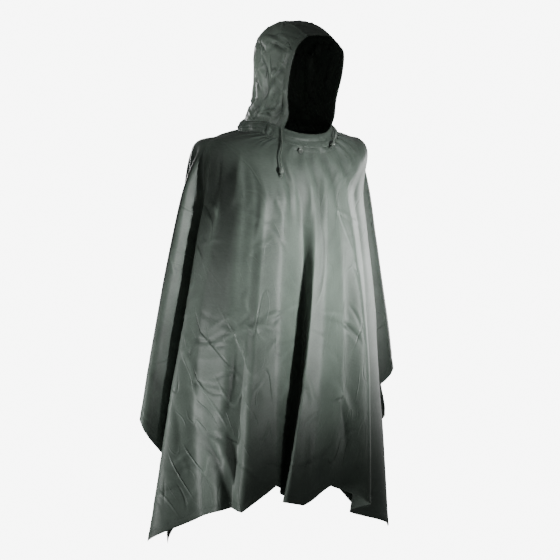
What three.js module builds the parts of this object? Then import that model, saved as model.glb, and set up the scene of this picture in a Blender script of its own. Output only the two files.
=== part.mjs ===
// A hooded rain poncho as it hangs when worn: one rectangle of coated nylon that falls
// in folds from the shoulders, with a gathered neck band, a three-panel hood and drawcords.
// Millimetres, +Z up. The front faces -Y and the wearer's right is -X.
// The origin is the centre of the neck opening, at the height of the shoulders.
import * as THREE from 'three';
import { mergeVertices } from 'three/addons/utils/BufferGeometryUtils.js';

// Driving dimensions of the cut
const CUT_WIDTH = 1450; // side edge to side edge
const CUT_LENGTH = 2000; // front hem to back hem
const SHOULDER_REACH = 240; // neck centre to the point of the shoulder, along the cloth
const SHOULDER_Z = -25; // height that the cloth hangs from
const HANG = 0.9325; // height that the cloth covers for its length, the rest goes in slopes and soft folds
const WALL = 2; // cloth thickness
const SEAM_GAP = 0.4; // space between two pieces at a seam
const LAP_GAP = 0.4; // space under a piece that lies on another

// Heights at which the folds of the body are laid out
const CHEST_Z = -180;
const WAIST_Z = -450;
const HEM_Z = -1000;

// Share of a fold's straight length that its rounded ends take up
const FOLD_ROUNDNESS = 0.85;
const COLUMNS_PER_FOLD = 4;
const YOKE_ROWS = 6;
const YOKE_CROWDING = 1.3; // rows of the yoke are closer together near the neck
const HANG_ROWS = 9;

// Rings that the cloth lies on between the neck and the chest. halfWidth, front and back are
// measured from a cross line at y = line, and the height varies from front to side to back.
const YOKE = [
  { ring: 'neck seam', halfWidth: 124, front: 118, back: 120, line: 0, zFront: -43, zSide: 4, zBack: 18 },
  { ring: 'yoke', halfWidth: 190, front: 148, back: 122, line: 25, zFront: -66, zSide: -6, zBack: -14 },
  { ring: 'shoulder', halfWidth: 250, front: 182, back: 122, line: 48, zFront: -105, zSide: -33, zBack: -75 },
];
const RING_SQUARENESS = 0.8;
const LEFT_RAISE = 8; // the left shoulder stands this much above its mirror image

// The fold lines of the body, in order round the wearer from the right arm by the front.
// edge is where the line meets the edge of the cut, measured round it from the middle of
// the right side. chest, waist and hem are where it passes those heights, as [x, y].
// lift raises the hem there.
const FOLDS = [
  { line: 'right arm', edge: 0, chest: [-262, 88], waist: [-312, 108], hem: [-345, 126], lift: 0 },
  { line: 'right arm front valley', edge: 330, chest: [-230, 74], waist: [-244, 92], hem: [-270, 112], lift: 0 },
  { line: 'right front wing', edge: 600, chest: [-302, 56], waist: [-356, 76], hem: [-432, 102], lift: -4 },
  { line: 'right inner valley', edge: 840, chest: [-236, 40], waist: [-238, 58], hem: [-290, 112], lift: 0 },
  { line: 'right front corner', edge: 1010, chest: [-252, 16], waist: [-296, 36], hem: [-375, 84], lift: -8 },
  { line: 'right thigh valley', edge: 1150, chest: [-236, -30], waist: [-268, 0], hem: [-288, -14], lift: 10 },
  { line: 'right thigh ridge', edge: 1245, chest: [-204, -92], waist: [-226, -88], hem: [-278, -88], lift: 8 },
  { line: 'right knee valley', edge: 1290, chest: [-180, -110], waist: [-200, -106], hem: [-248, -94], lift: 6 },
  { line: 'right knee ridge', edge: 1345, chest: [-158, -128], waist: [-182, -126], hem: [-240, -132], lift: -12 },
  { line: 'right centre ridge', edge: 1455, chest: [-112, -142], waist: [-136, -144], hem: [-136, -143], lift: 42 },
  { line: 'centre valley', edge: 1580, chest: [-57, -134], waist: [-34, -118], hem: [-77, -68], lift: 6 },
  { line: 'centre lap', edge: 1725, chest: [-10, -144], waist: [-35, -159], hem: [-134, -172], lift: 0 },
  { line: 'centre panel', edge: 1795, chest: [18, -148], waist: [0, -165], hem: [-84, -176], lift: -10 },
  { line: 'left knee valley', edge: 1930, chest: [62, -136], waist: [84, -132], hem: [34, -128], lift: 28 },
  { line: 'left knee ridge', edge: 2120, chest: [100, -128], waist: [136, -144], hem: [143, -167], lift: -8 },
  { line: 'left thigh valley', edge: 2290, chest: [160, -86], waist: [200, -78], hem: [174, -42], lift: -10 },
  { line: 'left front corner', edge: 2435, chest: [262, 20], waist: [304, 36], hem: [352, 30], lift: -20 },
  { line: 'left inner valley', edge: 2680, chest: [238, 32], waist: [246, 42], hem: [258, 80], lift: 90 },
  { line: 'left front wing', edge: 2990, chest: [312, 48], waist: [370, 60], hem: [450, 82], lift: 20 },
  { line: 'left arm front valley', edge: 3240, chest: [232, 64], waist: [246, 78], hem: [262, 96], lift: 0 },
  { line: 'left arm', edge: 3450, chest: [266, 80], waist: [312, 96], hem: [342, 112], lift: 0 },
  { line: 'left arm back valley', edge: 3690, chest: [226, 96], waist: [246, 110], hem: [262, 122], lift: 0 },
  { line: 'left back wing', edge: 4097, chest: [290, 112], waist: [350, 118], hem: [450, 104], lift: 0 },
  { line: 'left outer valley', edge: 4290, chest: [230, 136], waist: [250, 150], hem: [304, 150], lift: 10 },
  { line: 'left back corner', edge: 4460, chest: [240, 164], waist: [290, 186], hem: [372, 198], lift: 14 },
  { line: 'left hip valley', edge: 4600, chest: [198, 168], waist: [228, 176], hem: [286, 168], lift: 36 },
  { line: 'left hip ridge', edge: 4755, chest: [152, 192], waist: [180, 228], hem: [224, 286], lift: 24 },
  { line: 'left seat valley', edge: 4885, chest: [98, 186], waist: [110, 196], hem: [128, 204], lift: 20 },
  { line: 'left seat ridge', edge: 5025, chest: [46, 204], waist: [52, 244], hem: [62, 310], lift: 12 },
  { line: 'back valley', edge: 5155, chest: [-8, 194], waist: [-18, 202], hem: [-24, 214], lift: 12 },
  { line: 'right seat ridge', edge: 5295, chest: [-64, 202], waist: [-78, 240], hem: [-88, 304], lift: 8 },
  { line: 'right seat valley', edge: 5435, chest: [-116, 182], waist: [-132, 190], hem: [-144, 196], lift: 0 },
  { line: 'right hip ridge', edge: 5575, chest: [-160, 186], waist: [-184, 220], hem: [-196, 276], lift: 0 },
  { line: 'right hip valley', edge: 5735, chest: [-196, 164], waist: [-214, 174], hem: [-216, 176], lift: 0 },
  { line: 'right back corner', edge: 5890, chest: [-230, 156], waist: [-262, 182], hem: [-266, 194], lift: -36 },
  { line: 'right outer valley', edge: 6050, chest: [-218, 136], waist: [-240, 156], hem: [-256, 154], lift: 0 },
  { line: 'right back wing', edge: 6202, chest: [-256, 120], waist: [-296, 136], hem: [-304, 124], lift: 30 },
  { line: 'right arm back valley', edge: 6560, chest: [-222, 102], waist: [-240, 120], hem: [-262, 128], lift: 0 },
];
const LEFT_ARM = FOLDS.findIndex((fold) => fold.line === 'left arm');

// Small gathers where the body is drawn into the neck band, most just below the seam. They are
// deepest left of the front's middle and behind: aroundLeft says where, in degrees round the neck.
const GATHER = { depth: 3, reach: 75, least: 0.25, aroundLeft: 28, spread: 30, behind: 0.5 };

// Plain ellipse that says which way is outwards at a fold
const OUTWARD = { halfWidth: 340, halfDepth: 200, centreY: 60 };

// The neck band, a casing between the hood and the body that the drawcord gathers
const HOOD_SEAM = { halfWidth: 105, front: 105, back: 113, line: 0, zFront: -7, zSide: 32, zBack: 50 };
const BAND = { rows: 4, columns: 112, gathers: 28, gatherDepth: 2, puff: 7, smoothTurn: 40, seamDrop: 1.8 };

// The hood, as slices above its seam up to the crown seam. Each slice runs from the face edge
// round the side of the head to the back seam, and its height varies along it. The seam itself
// follows the top of the neck band, from faceTurn to the crown strip.
const HOOD_FACE_TURN = 40;
const HOOD = [
  { slice: 'nape', faceX: 73, faceY: -107, halfWidth: 99, sideY: 0, backY: 93, zFace: 40, zSide: 64, zBack: 84 },
  { slice: 'jaw', faceX: 78, faceY: -110, halfWidth: 96, sideY: -10, backY: 80, zFace: 88, zSide: 106, zBack: 122 },
  { slice: 'cheek', faceX: 83, faceY: -128, halfWidth: 99, sideY: -15, backY: 74, zFace: 150, zSide: 160, zBack: 168 },
  { slice: 'temple', faceX: 77, faceY: -144, halfWidth: 98, sideY: -15, backY: 72, zFace: 203, zSide: 210, zBack: 212 },
  { slice: 'brow', faceX: 63, faceY: -144, halfWidth: 88, sideY: -18, backY: 67, zFace: 224, zSide: 249, zBack: 242 },
  { slice: 'dome', faceX: 47, faceY: -144, halfWidth: 70, sideY: -20, backY: 60, zFace: 238, zSide: 275, zBack: 259 },
  { slice: 'crown seam', faceX: 38, faceY: -145, halfWidth: 43, sideY: -22, backY: 52, zFace: 244, zSide: 290, zBack: 271 },
];
const CROWN_HALF = 42; // half width of the strip over the crown and down the back
const CROWN_RISE = 5; // how far the strip's middle stands over its seams
const HOOD_COLUMNS = 16;
const HOOD_ROWS = 16;
const CROWN_COLUMNS = 4;

// Soft folds in each hood side, on the panel's own scale: along 0 is the face edge and 1 the back
// seam, up 0 is the neck seam and 1 the crown seam
const HOOD_FOLDS = [
  { fold: 'ear', from: [0.34, 0.34], to: [0.5, 0.62], depth: 7, width: 16 },
  { fold: 'jaw to nape', from: [0.2, 0.22], to: [0.46, 0.06], depth: 6, width: 15 },
  { fold: 'behind the ear', from: [0.62, 0.2], to: [0.66, 0.56], depth: 7, width: 15 },
  { fold: 'temple', from: [0.16, 0.62], to: [0.42, 0.86], depth: 5, width: 16 },
  { fold: 'nape', from: [0.7, 0.1], to: [0.95, 0.24], depth: 6, width: 16 },
];

// Press stud on the front, just under the neck band
const STUD = { turn: -17, down: 13, radius: 7.5, rim: 1, height: 2.6, lift: 1.7 };

// Drawcords. Each comes out at the seam between hood and band, and lies over the band and down
// the front, with a cord lock above the knot at its end. A stop says how far round the neck the
// cord is there, in degrees, and how far down: on the band as a share of it, and on the body in mm
// from the band. The stretch before the last stop is straight.
const CORDS = [
  {
    side: 'right',
    overBand: [[-43, 0.12], [-42, 0.4], [-41, 0.7], [-40, 0.96]],
    overBody: [[-37, 10], [-34.4, 20], [-32.5, 30], [-31.3, 45], [-31, 60], [-31.3, 78], [-35.5, 121]],
  },
  { side: 'left', overBand: [[54, 0.12], [49, 0.25], [43, 0.38], [37, 0.5]], overBody: [[17, 9]] },
];
const CORD = { radius: 1.75, sides: 8, knotRadius: 3.3, knotLength: 7, tail: 4 };
const LOCK = { radius: 5.8, length: 15, hole: 2.3 };
const CORD_STAND = WALL / 2 + LAP_GAP + CORD.radius; // of a cord's centre from the middle of the cloth
const LOCK_STAND = WALL / 2 + LAP_GAP + LOCK.radius + 1.5;

const mix = THREE.MathUtils.lerp;
const vector = (x, y, z) => new THREE.Vector3(x, y, z);

// A point on the edge of the cut, edge mm round it from the middle of the right side
function pointOnCut(edge) {
  const halfWidth = CUT_WIDTH / 2;
  const halfLength = CUT_LENGTH / 2;
  if (edge < halfLength) return [-halfWidth, -edge];
  if (edge < halfLength + CUT_WIDTH) return [edge - halfLength - halfWidth, -halfLength];
  if (edge < 3 * halfLength + CUT_WIDTH) return [halfWidth, edge - CUT_WIDTH - 2 * halfLength];
  if (edge < 3 * halfLength + 2 * CUT_WIDTH) return [halfWidth + 3 * halfLength + CUT_WIDTH - edge, halfLength];
  return [-halfWidth, 2 * CUT_LENGTH + 2 * CUT_WIDTH - edge];
}

// A point on a level ring with its own height at the front, side and back. turn is 0 at the
// front and grows towards the wearer's left.
function onRing(ring, turn) {
  const side = Math.sin(turn);
  const ahead = Math.cos(turn);
  const power = (value) => Math.sign(value) * Math.abs(value) ** RING_SQUARENESS;
  const depth = ahead > 0 ? ring.front : ring.back;
  const zEnd = ahead > 0 ? ring.zFront : ring.zBack;
  const raise = (LEFT_RAISE * ring.halfWidth * side) / SHOULDER_REACH;
  return vector(ring.halfWidth * power(side), ring.line - depth * power(ahead), mix(ring.zSide + raise, zEnd, ahead * ahead));
}

// Catmull-Rom curve through evenly spaced points, from the second to the one before the last
function throughPoints(points, t) {
  const last = points.length - 3;
  const scaled = t * last;
  const i = Math.min(Math.floor(scaled), last - 1);
  const u = scaled - i;
  const [a, b, c, d] = points.slice(i, i + 4);
  const weights = [
    (-u + 2 * u ** 2 - u ** 3) / 2,
    (2 - 5 * u ** 2 + 3 * u ** 3) / 2,
    (u + 4 * u ** 2 - 3 * u ** 3) / 2,
    (u ** 3 - u ** 2) / 2,
  ];
  const sum = vector(0, 0, 0);
  [a, b, c, d].forEach((point, k) => sum.addScaledVector(point, weights[k]));
  return sum;
}

// Where a fold line passes a height: one smooth curve through its three stated places
function foldAt(fold, z) {
  const along = [0, 1].map((axis) => {
    const [a, b, c] = [fold.chest[axis], fold.waist[axis], fold.hem[axis]];
    const first = (b - a) / (WAIST_Z - CHEST_Z);
    const second = ((c - b) / (HEM_Z - WAIST_Z) - first) / (HEM_Z - CHEST_Z);
    return a + first * (z - CHEST_Z) + second * (z - CHEST_Z) * (z - WAIST_Z);
  });
  return vector(along[0], along[1], z);
}

// Direction round the body at a point, level and at right angles to outwards
function roundTheBody(point) {
  const outX = point.x / OUTWARD.halfWidth ** 2;
  const outY = (point.y - OUTWARD.centreY) / OUTWARD.halfDepth ** 2;
  return vector(-outY, outX, 0).normalize();
}

// A point of the hanging cloth, share of the way from one fold line to the next
function hangingPoint(from, to, share, z) {
  const a = foldAt(from, z);
  const b = foldAt(to, z);
  const pull = FOLD_ROUNDNESS * a.distanceTo(b);
  const s2 = share ** 2;
  const s3 = share ** 3;
  return vector(0, 0, 0)
    .addScaledVector(a, 2 * s3 - 3 * s2 + 1)
    .addScaledVector(roundTheBody(a), pull * (s3 - 2 * s2 + share))
    .addScaledVector(b, 3 * s2 - 2 * s3)
    .addScaledVector(roundTheBody(b), pull * (s3 - s2));
}

// Angle of a point on a ring's own scale
const turnOf = (point, ring) => Math.atan2(point.x / ring.halfWidth, (ring.line - point.y) / ring.front);

// One column of the body from the neck seam to the edge of the cloth. The cloth in it is as long
// as it is on the cut, so its lower end follows from the cut.
function bodyColumn(index, share) {
  const from = FOLDS[index];
  const to = FOLDS[(index + 1) % FOLDS.length];
  const edgeEnd = index + 1 === FOLDS.length ? 2 * (CUT_WIDTH + CUT_LENGTH) : to.edge;
  const [cutX, cutY] = pointOnCut(mix(from.edge, edgeEnd, share) % (2 * (CUT_WIDTH + CUT_LENGTH)));
  const neckTurn = Math.atan2(3 * cutX, -cutY);
  const chest = hangingPoint(from, to, share, CHEST_Z);
  const chestTurn = turnOf(chest, YOKE[2]);
  const swing = Math.atan2(Math.sin(chestTurn - neckTurn), Math.cos(chestTurn - neckTurn));
  const rings = YOKE.map((ring, k) => onRing(ring, neckTurn + (swing * k) / YOKE.length));
  const above = rings[0].clone().multiplyScalar(2).sub(rings[1]);
  const falling = hangingPoint(from, to, share, CHEST_Z - 10).sub(chest);
  const after = rings[2].clone().add(falling.setLength(2 * chest.distanceTo(rings[2])));
  const path = [above, ...rings, chest, after];

  const column = [];
  for (let row = 0; row <= YOKE_ROWS; row += 1) column.push(throughPoints(path, (row / YOKE_ROWS) ** YOKE_CROWDING));
  const startX = THREE.MathUtils.clamp(cutX, -SHOULDER_REACH, SHOULDER_REACH);
  const endZ = SHOULDER_Z - HANG * Math.hypot(cutX - startX, cutY) + mix(from.lift, to.lift, share);
  for (let row = 1; row <= HANG_ROWS; row += 1) {
    column.push(hangingPoint(from, to, share, mix(CHEST_Z, endZ, row / HANG_ROWS)));
  }
  return column;
}

// All the columns of the body, with the small gathers at the neck
function bodyColumns() {
  const columns = [];
  FOLDS.forEach((_, index) => {
    for (let step = 0; step < COLUMNS_PER_FOLD; step += 1) {
      columns.push(bodyColumn(index, step / COLUMNS_PER_FOLD));
    }
  });
  const normals = gridNormals(columns, true);
  const degreesOff = (degrees, centre) => Math.abs(((degrees - centre + 540) % 360) - 180);
  return columns.map((column, j) => {
    let down = 0;
    const around = neckTurn(column);
    const drawn = GATHER.least + Math.exp(-((degreesOff(around, GATHER.aroundLeft) / GATHER.spread) ** 2));
    const depth = GATHER.depth * Math.min(1, drawn + (degreesOff(around, 0) > 120 ? GATHER.behind : 0));
    return column.map((point, row) => {
      if (row > 0) down += point.distanceTo(column[row - 1]);
      const share = Math.min(1, down / GATHER.reach);
      const wave = depth * Math.sin(Math.PI * Math.sqrt(share)) * Math.cos((Math.PI * j) / 2);
      return point.clone().addScaledVector(normals[j][row], wave);
    });
  });
}

// Outward normals of a sheet given as columns of points. Columns run round the body from the
// wearer's right by the front, and each runs down.
function gridNormals(columns, closed) {
  const count = columns.length;
  const columnAt = (j) => (closed ? columns[(j + count) % count] : columns[Math.min(Math.max(j, 0), count - 1)]);
  return columns.map((column, j) =>
    column.map((_, i) => {
      const across = columnAt(j + 1)[i].clone().sub(columnAt(j - 1)[i]);
      const down = column[Math.min(i + 1, column.length - 1)].clone().sub(column[Math.max(i - 1, 0)]);
      return down.cross(across).normalize();
    }),
  );
}

// Normals made level in one row, so that the cut edge there is level and meets its neighbour squarely
function levelRow(normals, row) {
  normals.forEach((column) => column.at(row).setZ(0).normalize());
  return normals;
}

// A closed cloth wall from columns of points, half its thickness to each side
function clothWall(columns, { normals = gridNormals(columns, false), thickness = WALL, closed = false } = {}) {
  const count = columns.length;
  const rows = columns[0].length;
  const positions = [];
  [1, -1].forEach((side) =>
    columns.forEach((column, j) =>
      column.forEach((point, i) => {
        const moved = point.clone().addScaledVector(normals[j][i], (side * thickness) / 2);
        positions.push(moved.x, moved.y, moved.z);
      }),
    ),
  );
  const outer = (j, i) => (j % count) * rows + i;
  const inner = (j, i) => count * rows + outer(j, i);
  const faces = [];
  const quad = (a, b, c, d) => faces.push(a, b, c, a, c, d);
  const lastColumn = closed ? count : count - 1;
  for (let j = 0; j < lastColumn; j += 1) {
    for (let i = 0; i < rows - 1; i += 1) {
      quad(outer(j, i), outer(j, i + 1), outer(j + 1, i + 1), outer(j + 1, i));
      quad(inner(j, i), inner(j + 1, i), inner(j + 1, i + 1), inner(j, i + 1));
    }
    quad(outer(j, 0), outer(j + 1, 0), inner(j + 1, 0), inner(j, 0));
    quad(outer(j, rows - 1), inner(j, rows - 1), inner(j + 1, rows - 1), outer(j + 1, rows - 1));
  }
  if (!closed) {
    for (let i = 0; i < rows - 1; i += 1) {
      quad(outer(0, i), inner(0, i), inner(0, i + 1), outer(0, i + 1));
      quad(outer(count - 1, i), outer(count - 1, i + 1), inner(count - 1, i + 1), inner(count - 1, i));
    }
  }
  const geometry = new THREE.BufferGeometry();
  geometry.setAttribute('position', new THREE.Float32BufferAttribute(positions, 3));
  geometry.setIndex(faces);
  return geometry;
}

// Moves a column of points towards its neighbour, to leave the gap of a seam
function drawBack(column, neighbour, gap) {
  return column.map((point, i) => point.clone().add(neighbour[i].clone().sub(point).setLength(gap)));
}

// The front or back half of the body, from one shoulder seam to the other
function bodyHalf(columns, normals, first, last) {
  const picked = [];
  const pickedNormals = [];
  for (let j = first; j <= last; j += 1) {
    picked.push(columns[j % columns.length]);
    pickedNormals.push(normals[j % columns.length]);
  }
  const end = picked.length - 1;
  picked[0] = drawBack(picked[0], picked[1], SEAM_GAP / 2);
  picked[end] = drawBack(picked[end], picked[end - 1], SEAM_GAP / 2);
  return clothWall(picked, { normals: pickedNormals });
}

// The gathered band between the hood seam and the neck seam
function bandPoint(turn, share) {
  const top = onRing(HOOD_SEAM, turn);
  const down = onRing(YOKE[0], turn).sub(top);
  const gap = BAND.seamDrop / down.length();
  const out = vector(top.x, top.y, 0).normalize();
  const ahead = Math.abs(Math.atan2(Math.sin(turn), Math.cos(turn)));
  const smoothTo = THREE.MathUtils.degToRad(BAND.smoothTurn);
  const gathered = THREE.MathUtils.smoothstep(ahead, smoothTo, smoothTo + 0.5);
  const ripple = BAND.gatherDepth * gathered * Math.cos(BAND.gathers * turn);
  const bulge = Math.sin(Math.PI * share);
  return top.addScaledVector(down, mix(0, 1 - gap, share)).addScaledVector(out, (BAND.puff * (0.2 + 0.8 * gathered) + ripple) * bulge);
}

function neckBand() {
  const columns = [];
  for (let j = 0; j < BAND.columns; j += 1) {
    const turn = (2 * Math.PI * j) / BAND.columns - Math.PI / 2;
    const column = [];
    for (let row = 0; row <= BAND.rows; row += 1) column.push(bandPoint(turn, row / BAND.rows));
    columns.push(column);
  }
  const normals = levelRow(levelRow(gridNormals(columns, true), 0), -1);
  return clothWall(columns, { normals, closed: true });
}

// A point of a slice of the hood. along is 0 at the face edge and 1 at the back seam
const FACE_SHARE = 0.42;
function slicePoint(slice, along) {
  if (along < FACE_SHARE) {
    const share = along / FACE_SHARE;
    const bend = Math.sin((Math.PI / 2) * share);
    return vector(mix(slice.faceX, slice.halfWidth, bend), mix(slice.faceY, slice.sideY, share), mix(slice.zFace, slice.zSide, bend));
  }
  const share = (along - FACE_SHARE) / (1 - FACE_SHARE);
  const lastTurn = Math.acos(Math.min(1, CROWN_HALF / slice.halfWidth));
  const back = lastTurn > 0.3 ? Math.sin(share * lastTurn) / Math.sin(lastTurn) : share;
  return vector(
    slice.halfWidth * Math.cos(share * lastTurn),
    mix(slice.sideY, slice.backY, back),
    mix(slice.zSide, slice.zBack, back),
  );
}

// A point of the seam between hood and band, where along is as in slicePoint
const HOOD_BACK_TURN = Math.PI - Math.asin((CROWN_HALF / HOOD_SEAM.halfWidth) ** (1 / RING_SQUARENESS));
function seamPoint(along, side) {
  const faceTurn = THREE.MathUtils.degToRad(HOOD_FACE_TURN);
  const turn =
    along < FACE_SHARE
      ? mix(faceTurn, Math.PI / 2, along / FACE_SHARE)
      : mix(Math.PI / 2, HOOD_BACK_TURN, (along - FACE_SHARE) / (1 - FACE_SHARE));
  const point = onRing(HOOD_SEAM, side * turn).add(vector(0, 0, SEAM_GAP));
  point.x *= side;
  return point;
}

// The same seam at the back, by its distance across
function hoodFoot(across) {
  const side = Math.sign(across) * (Math.abs(across) / HOOD_SEAM.halfWidth) ** (1 / RING_SQUARENESS);
  return onRing(HOOD_SEAM, Math.PI - Math.asin(side)).add(vector(0, 0, SEAM_GAP));
}

// A point of a hood side without its folds. up is 0 at the neck seam and 1 at the crown seam,
// side is -1 for the wearer's right and 1 for the left.
function hoodSidePoint(along, up, side) {
  const points = [seamPoint(along, side), ...HOOD.map((slice) => slicePoint(slice, along))];
  const last = points.length - 1;
  const before = points[0].clone().multiplyScalar(2).sub(points[1]);
  const after = points[last].clone().multiplyScalar(2).sub(points[last - 1]);
  const point = throughPoints([before, ...points, after], up);
  point.x *= side;
  return point;
}

// How far the hood's folds sink the cloth at a point of a side panel
function hoodFoldDepth(along, up) {
  const scale = { along: 260, up: 330 }; // panel size, to compare distances in mm
  return HOOD_FOLDS.reduce((sum, fold) => {
    const [fromA, fromU] = [fold.from[0] * scale.along, fold.from[1] * scale.up];
    const [runA, runU] = [fold.to[0] * scale.along - fromA, fold.to[1] * scale.up - fromU];
    const [offA, offU] = [along * scale.along - fromA, up * scale.up - fromU];
    const share = THREE.MathUtils.clamp((offA * runA + offU * runU) / (runA ** 2 + runU ** 2), 0, 1);
    const distance = Math.hypot(offA - share * runA, offU - share * runU);
    return sum + fold.depth * Math.exp(-((distance / fold.width) ** 2));
  }, 0);
}

// Columns of one hood side. They run from the wearer's right by the front to the left, and down.
function hoodSideColumns(side) {
  const columns = [];
  for (let j = 0; j <= HOOD_COLUMNS; j += 1) {
    const along = side < 0 ? 1 - j / HOOD_COLUMNS : j / HOOD_COLUMNS;
    const column = [];
    for (let i = 0; i <= HOOD_ROWS; i += 1) column.push(hoodSidePoint(along, 1 - i / HOOD_ROWS, side));
    columns.push(column);
  }
  const normals = gridNormals(columns, false);
  return columns.map((column, j) =>
    column.map((point, i) => {
      const along = side < 0 ? 1 - j / HOOD_COLUMNS : j / HOOD_COLUMNS;
      const up = 1 - i / HOOD_ROWS;
      const edge = Math.sin(Math.PI * along) * Math.sin(Math.PI * up);
      const depth = hoodFoldDepth(along, up) * Math.min(1, 4 * edge);
      return point.clone().addScaledVector(normals[j][i], -depth);
    }),
  );
}

function hoodSide(side) {
  const columns = hoodSideColumns(side);
  return clothWall(columns, { normals: levelRow(gridNormals(columns, false), -1) });
}

// The crown strip's seam line on one side, from the nape up the back and over to the brim
function crownSeam(side) {
  const line = [];
  for (let i = 0; i <= HOOD_ROWS; i += 1) line.push(hoodSidePoint(1, i / HOOD_ROWS, side));
  for (let j = HOOD_COLUMNS - 1; j >= 0; j -= 1) line.push(hoodSidePoint(j / HOOD_COLUMNS, 1, side));
  return line;
}

function hoodCrown() {
  const right = crownSeam(-1);
  const left = crownSeam(1);
  const inset = WALL / 2 + SEAM_GAP;
  const middle = vector(0, -20, 150);
  const columns = [];
  for (let j = 0; j <= CROWN_COLUMNS; j += 1) {
    const share = j / CROWN_COLUMNS;
    columns.push(
      right.map((point, i) => {
        const across = mix(point.x + inset, left[i].x - inset, share);
        if (i === 0) return hoodFoot(across);
        const out = vector(0, point.y - middle.y, point.z - middle.z).normalize();
        return vector(across, point.y, point.z).addScaledVector(out, CROWN_RISE * Math.sin(Math.PI * share));
      }),
    );
  }
  return clothWall(columns, { normals: levelRow(gridNormals(columns, false), 0) });
}

// A closed round bar along a list of points, with its own radius at each
function roundBar(points, radii, sides) {
  const positions = [];
  points.forEach((point, i) => {
    const along = points[Math.min(i + 1, points.length - 1)].clone().sub(points[Math.max(i - 1, 0)]).normalize();
    const across = vector(0, 1, 0).cross(along).normalize();
    const ahead = along.clone().cross(across);
    for (let k = 0; k < sides; k += 1) {
      const angle = (2 * Math.PI * k) / sides;
      const p = point.clone().addScaledVector(across, radii[i] * Math.cos(angle)).addScaledVector(ahead, radii[i] * Math.sin(angle));
      positions.push(p.x, p.y, p.z);
    }
  });
  const faces = [];
  const at = (i, k) => i * sides + (k % sides);
  for (let i = 0; i < points.length - 1; i += 1) {
    for (let k = 0; k < sides; k += 1) {
      faces.push(at(i, k), at(i, k + 1), at(i + 1, k + 1), at(i, k), at(i + 1, k + 1), at(i + 1, k));
    }
  }
  for (let k = 1; k < sides - 1; k += 1) {
    faces.push(at(0, 0), at(0, k + 1), at(0, k));
    faces.push(at(points.length - 1, 0), at(points.length - 1, k), at(points.length - 1, k + 1));
  }
  const geometry = new THREE.BufferGeometry();
  geometry.setAttribute('position', new THREE.Float32BufferAttribute(positions, 3));
  geometry.setIndex(faces);
  return geometry;
}

// How far round the neck a body column starts, in degrees
function neckTurn(column) {
  return THREE.MathUtils.radToDeg(Math.atan2(column[0].x / YOKE[0].halfWidth, -column[0].y / YOKE[0].front));
}

// Point and outward normal at a distance down a column
function downColumn(column, normals, distance) {
  let row = 0;
  let left = distance;
  while (row < column.length - 2 && left > column[row].distanceTo(column[row + 1])) {
    left -= column[row].distanceTo(column[row + 1]);
    row += 1;
  }
  const share = left / column[row].distanceTo(column[row + 1]);
  return {
    point: column[row].clone().lerp(column[row + 1], share),
    normal: normals[row].clone().lerp(normals[row + 1], share).normalize(),
  };
}

// The same at any direction round the front of the neck, between the two nearest columns
function onBody(columns, normals, degrees, distance) {
  const j = columns.findIndex((column, k) => neckTurn(column) <= degrees && neckTurn(columns[k + 1]) > degrees);
  const share = (degrees - neckTurn(columns[j])) / (neckTurn(columns[j + 1]) - neckTurn(columns[j]));
  const one = downColumn(columns[j], normals[j], distance);
  const next = downColumn(columns[j + 1], normals[j + 1], distance);
  return { point: one.point.lerp(next.point, share), normal: one.normal.lerp(next.normal, share).normalize() };
}

// Point and outward normal on the neck band, a share of the way down it
function onBand(degrees, share) {
  const turn = THREE.MathUtils.degToRad(degrees);
  const point = bandPoint(turn, share);
  const down = bandPoint(turn, share + 0.05).sub(bandPoint(turn, share - 0.05));
  const across = bandPoint(turn + 0.02, share).sub(bandPoint(turn - 0.02, share));
  return { point, normal: down.cross(across).normalize() };
}

// The centre line of a cord over the neck band and down the body. Its last stretch, with the cord
// lock and the knot on it, is straight and stands further off the cloth.
function cordPath(columns, normals, { overBand, overBody }) {
  const stops = [
    ...overBand.map(([turn, share]) => onBand(turn, share)),
    ...overBody.map(([turn, distance]) => onBody(columns, normals, turn, distance)),
  ];
  const last = stops.length - 1;
  const standing = stops.map(({ point, normal }, i) => {
    const towardLock = Math.max(0, (i - 1) / (last - 2));
    return point.addScaledVector(normal, i < last ? mix(CORD_STAND, LOCK_STAND, towardLock) : LOCK_STAND);
  });
  const curve = new THREE.CatmullRomCurve3(standing.slice(0, last), false, 'centripetal');
  const path = curve.getSpacedPoints(Math.ceil(curve.getLength() / 7));
  const bend = path[path.length - 1].clone();
  for (let i = 1; i <= 4; i += 1) path.push(bend.clone().lerp(standing[last], i / 4));
  return path;
}

// A cord that swells to a knot near its lower end
function drawcord(path) {
  const lengths = [0];
  for (let i = 1; i < path.length; i += 1) lengths.push(lengths[i - 1] + path[i].distanceTo(path[i - 1]));
  const total = lengths[lengths.length - 1];
  const knotEnd = total - CORD.tail;
  const fine = [];
  const radii = [];
  const stops = lengths.filter((at) => at < knotEnd - CORD.knotLength - 1);
  for (let k = 0; k <= 8; k += 1) stops.push(knotEnd - CORD.knotLength + (CORD.knotLength * k) / 8);
  stops.push(total);
  stops.forEach((at) => {
    const i = Math.max(1, lengths.findIndex((length) => length >= at - 1e-6));
    fine.push(path[i - 1].clone().lerp(path[i], (at - lengths[i - 1]) / (lengths[i] - lengths[i - 1])));
    const share = THREE.MathUtils.clamp((at - knotEnd + CORD.knotLength) / CORD.knotLength, 0, 1);
    radii.push(mix(CORD.radius, CORD.knotRadius, Math.sin(Math.PI * share) ** 0.6));
  });
  return roundBar(fine, radii, CORD.sides);
}

// A closed lathe from half an outline of radius and height pairs, set on a point along an axis
function turned(outline, segments, point, axis) {
  const geometry = new THREE.LatheGeometry(outline.map(([radius, height]) => new THREE.Vector2(radius, height)), segments);
  geometry.applyQuaternion(new THREE.Quaternion().setFromUnitVectors(vector(0, 1, 0), axis));
  geometry.translate(point.x, point.y, point.z);
  return geometry;
}

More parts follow.
